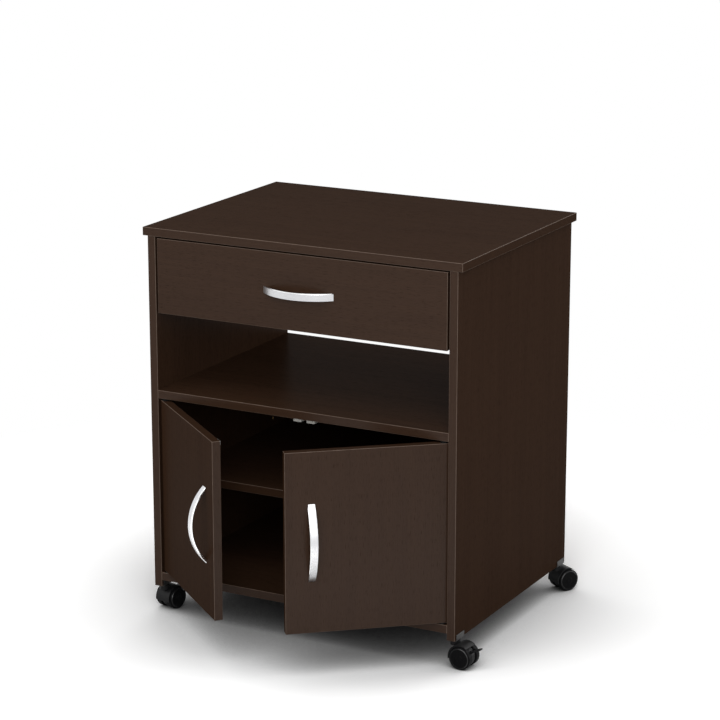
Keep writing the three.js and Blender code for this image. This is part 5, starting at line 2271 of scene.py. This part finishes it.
    def pedal(self) -> None:
        """The brake pedal: two cheeks, a pin and a ribbed tab behind the wheels."""
        x, z = self.pivot()
        web = self.wheel - self.web_inset
        tab_low = 2 * self.wheel - self.tab_drop
        tab_high = tab_low + self.tab_thickness
        start, end = self.trail + web + 1.5, self.trail + self.wheel + self.tab_reach
        inner, outer = self.web / 2 + 0.3, self.web / 2 + 1.5
        arm = rounded([
            (x - 3.4, z - 3.4, 3.2), (x + 3.0, z - 3.4, 2.4), (start + 3, tab_low, 0.4),
            (start + 3, tab_high + 0.6, 0.4), (x - 3.4, z + 3.4, 3.2),
        ])
        slope = self.tab_rise / (end - start)
        tilt = Matrix(((1, 0, 0, 0), (0, 1, 0, 0), (slope, 0, 1, -slope * start), (0, 0, 0, 1)))
        blade = rounded([(start, -outer, 0.8), (end, -outer, 2.4), (end, outer, 2.4), (start, outer, 0.8)])
        whole = Solid.pushed(blade, tab_low, tab_high, BLACK_MOULDING, Axis.Z).moved(tilt)
        cheeks = [Solid.pushed(arm, *ends, BLACK_MOULDING, Axis.Y) for ends in ((-outer, -inner), (inner, outer))]
        whole.fused(*cheeks).eased(0.3, 2, 38.0)
        pin = Solid.rod(1.6, -outer, outer, ZINC, 24).at(x, 0, z, Axis.Y)
        ribs = []
        for k in range(4):
            low = (end - 8.0 + k * 1.8, 1.2 - outer, tab_high - 0.1)
            rib = Solid.block(low, (low[0] + 0.9, outer - 1.2, tab_high + 0.3), BLACK_MOULDING)
            ribs.append(rib.eased(0.15, 2).moved(tilt))
        self.hand_over(whole.with_parts(pin, *ribs), "pedal", Slot.BLACK, "brake_pedal", stand=self.stand())

    def bracket(self) -> None:
        """The pressed bracket that grips the side's lower edge, with two screws in its outer flange."""
        node = f"caster_bracket_{self.place}"
        low, high = self.shop.box(node)
        t, bend = self.sheet, self.bend
        outline = rounded([
            (low.x, high.z, 0.5), (low.x, low.z, bend), (high.x, low.z, bend), (high.x, high.z, 0.5),
            (high.x - t, high.z, 0.5), (high.x - t, low.z + t, 0.3), (low.x + t, low.z + t, 0.3),
            (low.x + t, high.z, 0.5),
        ])
        middle = centre_of(low, high)[:2]
        hole = Solid.rod(4.3, -5, 5, BRACKET_STEEL).at(*middle, low.z)
        clip = Solid.pushed(outline, low.y, high.y, BRACKET_STEEL, Axis.Y).less(hole).eased(0.25, 2, 50.0)
        out = math.copysign(1.0, middle[0])
        face = high.x if out > 0 else low.x
        seats = [((face - out * 0.24, middle[1] + k * self.screws, high.z - 4.2), (out, 0, 0)) for k in (-1, 1)]
        screws = self.fastenings.flushes(seats, 6, DARK_PIN)
        self.shop.hand_over(clip.with_parts(screws), f"{self.place}_bracket", Slot.DARK, node)

    def build(self) -> None:
        """Builds and dresses the caster."""
        self.bracket()
        self.body()
        self.wheels()
        if self.braked:
            self.pedal()


# ---------------------------------------------------------------- studio


@dataclass(frozen=True)
class Lamp:
    """One broad soft light.

    Attributes:
        name, azimuth, elevation: where it stands, in degrees from the front toward the right and up.
        strength: how strongly it lights a face turned to it, where 1 shows a colour as written.
        softness: its angular size, in degrees.
        reach: how far from the cart's front it stands, in metres, or 0 for very far.
    """

    name: str
    azimuth: float
    elevation: float
    strength: float
    softness: float = 60.0
    reach: float = 0.0

    def hang(self, front: Vector) -> None:
        """Hangs the lamp in the scene.

        Args:
            front: the place on the cart's front that its strength is given for.
        """
        around, up = math.radians(self.azimuth), math.radians(self.elevation)
        toward = Vector((math.sin(around) * math.cos(up), -math.cos(around) * math.cos(up), math.sin(up)))
        half = math.radians(self.softness) / 2
        data = bpy.data.lights.new(self.name, "AREA" if self.reach else "SUN")
        data.energy = self.strength * math.pi
        if self.reach:
            radius = self.reach * math.tan(half)
            data.shape, data.size = "DISK", 2 * radius
            data.energy *= math.pi * radius**2 / math.sin(half) ** 2
        else:
            data.angle = 2 * half
        made = linked(self.name, data)
        made.location = front + toward * self.reach
        made.visible_camera = False
        made.rotation_mode = "QUATERNION"
        made.rotation_quaternion = toward.to_track_quat("Z", "Y")


LAMPS = (
    Lamp("front_lamp", 18.0, 50.0, 0.46, reach=1.9),
    Lamp("front_right_lamp", 28.0, 17.0, 0.3, 30.0),
    Lamp("rear_right_lamp", 130.0, 6.0, 0.25),
    Lamp("rear_lamp", 165.0, 5.0, 0.42),
    Lamp("left_lamp", -60.0, 20.0, 0.21),
)


@dataclass
class Studio:
    """A plain pale floor, soft even light and the camera.

    Attributes:
        shop: knows where the cart stands.
        camera_place, yaw, pitch: where the camera stands, and how it is turned, in radians.
        lens: its focal length on a 36 mm sensor.
        dome, lamps: strength of the even light, and the broad lamps.
        floor_tone, apron: the light that the floor gives back near and far, kept low near the cart as a painted
            shadow,
        and the distances in metres between which it grows.
        floor_seen, fade: its tone as the camera sees it, and the distances between which it turns white.
        shade_reach: how far from what stands on it the floor is darkened by a painted shadow of ambient occlusion, in
            metres.
    """

    shop: Shop
    camera_place: Triple = (2081.1745, -3691.483, 1638.797)
    yaw: float = -0.48868252
    pitch: float = -0.26092334
    lens: float = 128.6785
    dome: float = 0.34
    lamps: tuple[Lamp, ...] = LAMPS
    floor_tone: Point = (0.08, 0.75)
    floor_seen: float = 1.75
    shade_reach: float = 0.6
    fade: Point = (0.72, 1.35)
    apron: Point = (0.45, 0.8)

    def camera(self) -> None:
        """Stands the camera where the picture was taken from."""
        data = bpy.data.cameras.new("camera")
        data.lens, data.sensor_width, data.sensor_fit = self.lens, 36.0, "HORIZONTAL"
        data.clip_start, data.clip_end = 0.05, 100.0
        eye = linked("camera", data)
        eye.location = self.shop.into_model @ Vector(self.camera_place)
        flat = math.cos(self.pitch)
        ahead = Vector((math.sin(self.yaw) * flat, math.cos(self.yaw) * flat, math.sin(self.pitch)))
        eye.rotation_mode = "QUATERNION"
        eye.rotation_quaternion = ahead.to_track_quat("-Z", "Y")
        bpy.context.scene.camera = eye

    @staticmethod
    def seen(bench: NodeBench) -> Socket:
        """1 for what the camera sees straight, in a mirror or through glass.

        Args:
            bench: the bench of the floor or the world.

        Returns:
            The socket.
        """
        rays = bench.add("ShaderNodeLightPath").outputs
        straight = bench.math("MAXIMUM", rays["Is Camera Ray"], rays["Is Glossy Ray"])
        return bench.math("MAXIMUM", straight, rays["Is Transmission Ray"])

    def floor(self) -> None:
        """A wide pale floor that keeps the cart's shadow, deepened by a painted shadow of ambient occlusion, and turns
        plain white further out.
        """
        work = bmesh.new()
        bmesh.ops.create_grid(work, x_segments=2, y_segments=2, size=30.0)
        mesh = bpy.data.meshes.new("floor")
        work.to_mesh(mesh)
        work.free()
        made = bpy.data.materials.new("pale_floor")
        bench = emptied(made)
        seen = self.seen(bench)
        # Painted shadow: ambient occlusion darkens the floor's colour near what stands on it.
        shade = bench.add("ShaderNodeAmbientOcclusion", {"Distance": self.shade_reach}).outputs["AO"]
        shown = bench.times(shade, self.floor_seen)
        place = bench.add("ShaderNodeTexCoord").outputs["Object"]
        distance = bench.add("ShaderNodeVectorMath", {0: place}, operation="LENGTH").outputs["Value"]
        # Painted shadow: near the cart the floor gives back less light.
        given_back = bench.spread(distance, *self.apron, *self.floor_tone)
        share = bench.spread(seen, 0.0, 1.0, given_back, shown)
        grey = bench.add("ShaderNodeCombineColor", {0: share, 1: share, 2: share}).outputs[0]
        matt = bench.add("ShaderNodeBsdfDiffuse", {"Color": grey})
        far = bench.times(bench.spread(distance, *self.fade, 0.0, 1.0), seen)
        white = bench.add("ShaderNodeEmission", {"Color": (1, 1, 1, 1), "Strength": 1.0})
        mixed = bench.add("ShaderNodeMixShader", {0: far, 1: matt.outputs[0], 2: white.outputs[0]})
        bench.add("ShaderNodeOutputMaterial", {"Surface": mixed.outputs[0]})
        mesh.materials.append(made)
        linked("floor", mesh)

    def light(self) -> None:
        """An even dome with a white background, and the lamps."""
        world = bpy.data.worlds.new("studio")
        bench = emptied(world)
        strength = bench.spread(self.seen(bench), 0.0, 1.0, self.dome, 1.0)
        dome = bench.add("ShaderNodeBackground", {"Color": (1, 1, 1, 1), "Strength": strength})
        bench.add("ShaderNodeOutputWorld", {"Surface": dome.outputs[0]})
        bpy.context.scene.world = world
        front = self.shop.into_model @ Vector((0.0, 0.0, 600.0))
        for lamp in self.lamps:
            lamp.hang(front)

    def build(self) -> None:
        """Sets the studio up."""
        self.camera()
        self.floor()
        self.light()
        bpy.context.scene.view_settings.view_transform = "Standard"


# ---------------------------------------------------------------- the cart

CASTERS = (
    ("front_left", 78.0, True), ("front_right", -4.0, True), ("rear_left", 112.0, False), ("rear_right", 59.0, False),
)


def main() -> None:
    """Builds the studio and the cart."""
    logging.basicConfig(level=logging.INFO, format="%(message)s")
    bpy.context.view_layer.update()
    shop, fastenings, handle = Shop(), Fastenings(), BowHandle()
    Studio(shop).build()
    Carcass(shop, fastenings).build()
    Drawer(shop, fastenings, handle).build()
    for side in SIDES:
        Door(shop, fastenings, handle, side).build()
    DoorFittings(shop, fastenings).build()
    for place, angle, braked in CASTERS:
        Caster(shop, fastenings, place, angle, braked).build()


if __name__ == "__main__":
    main()
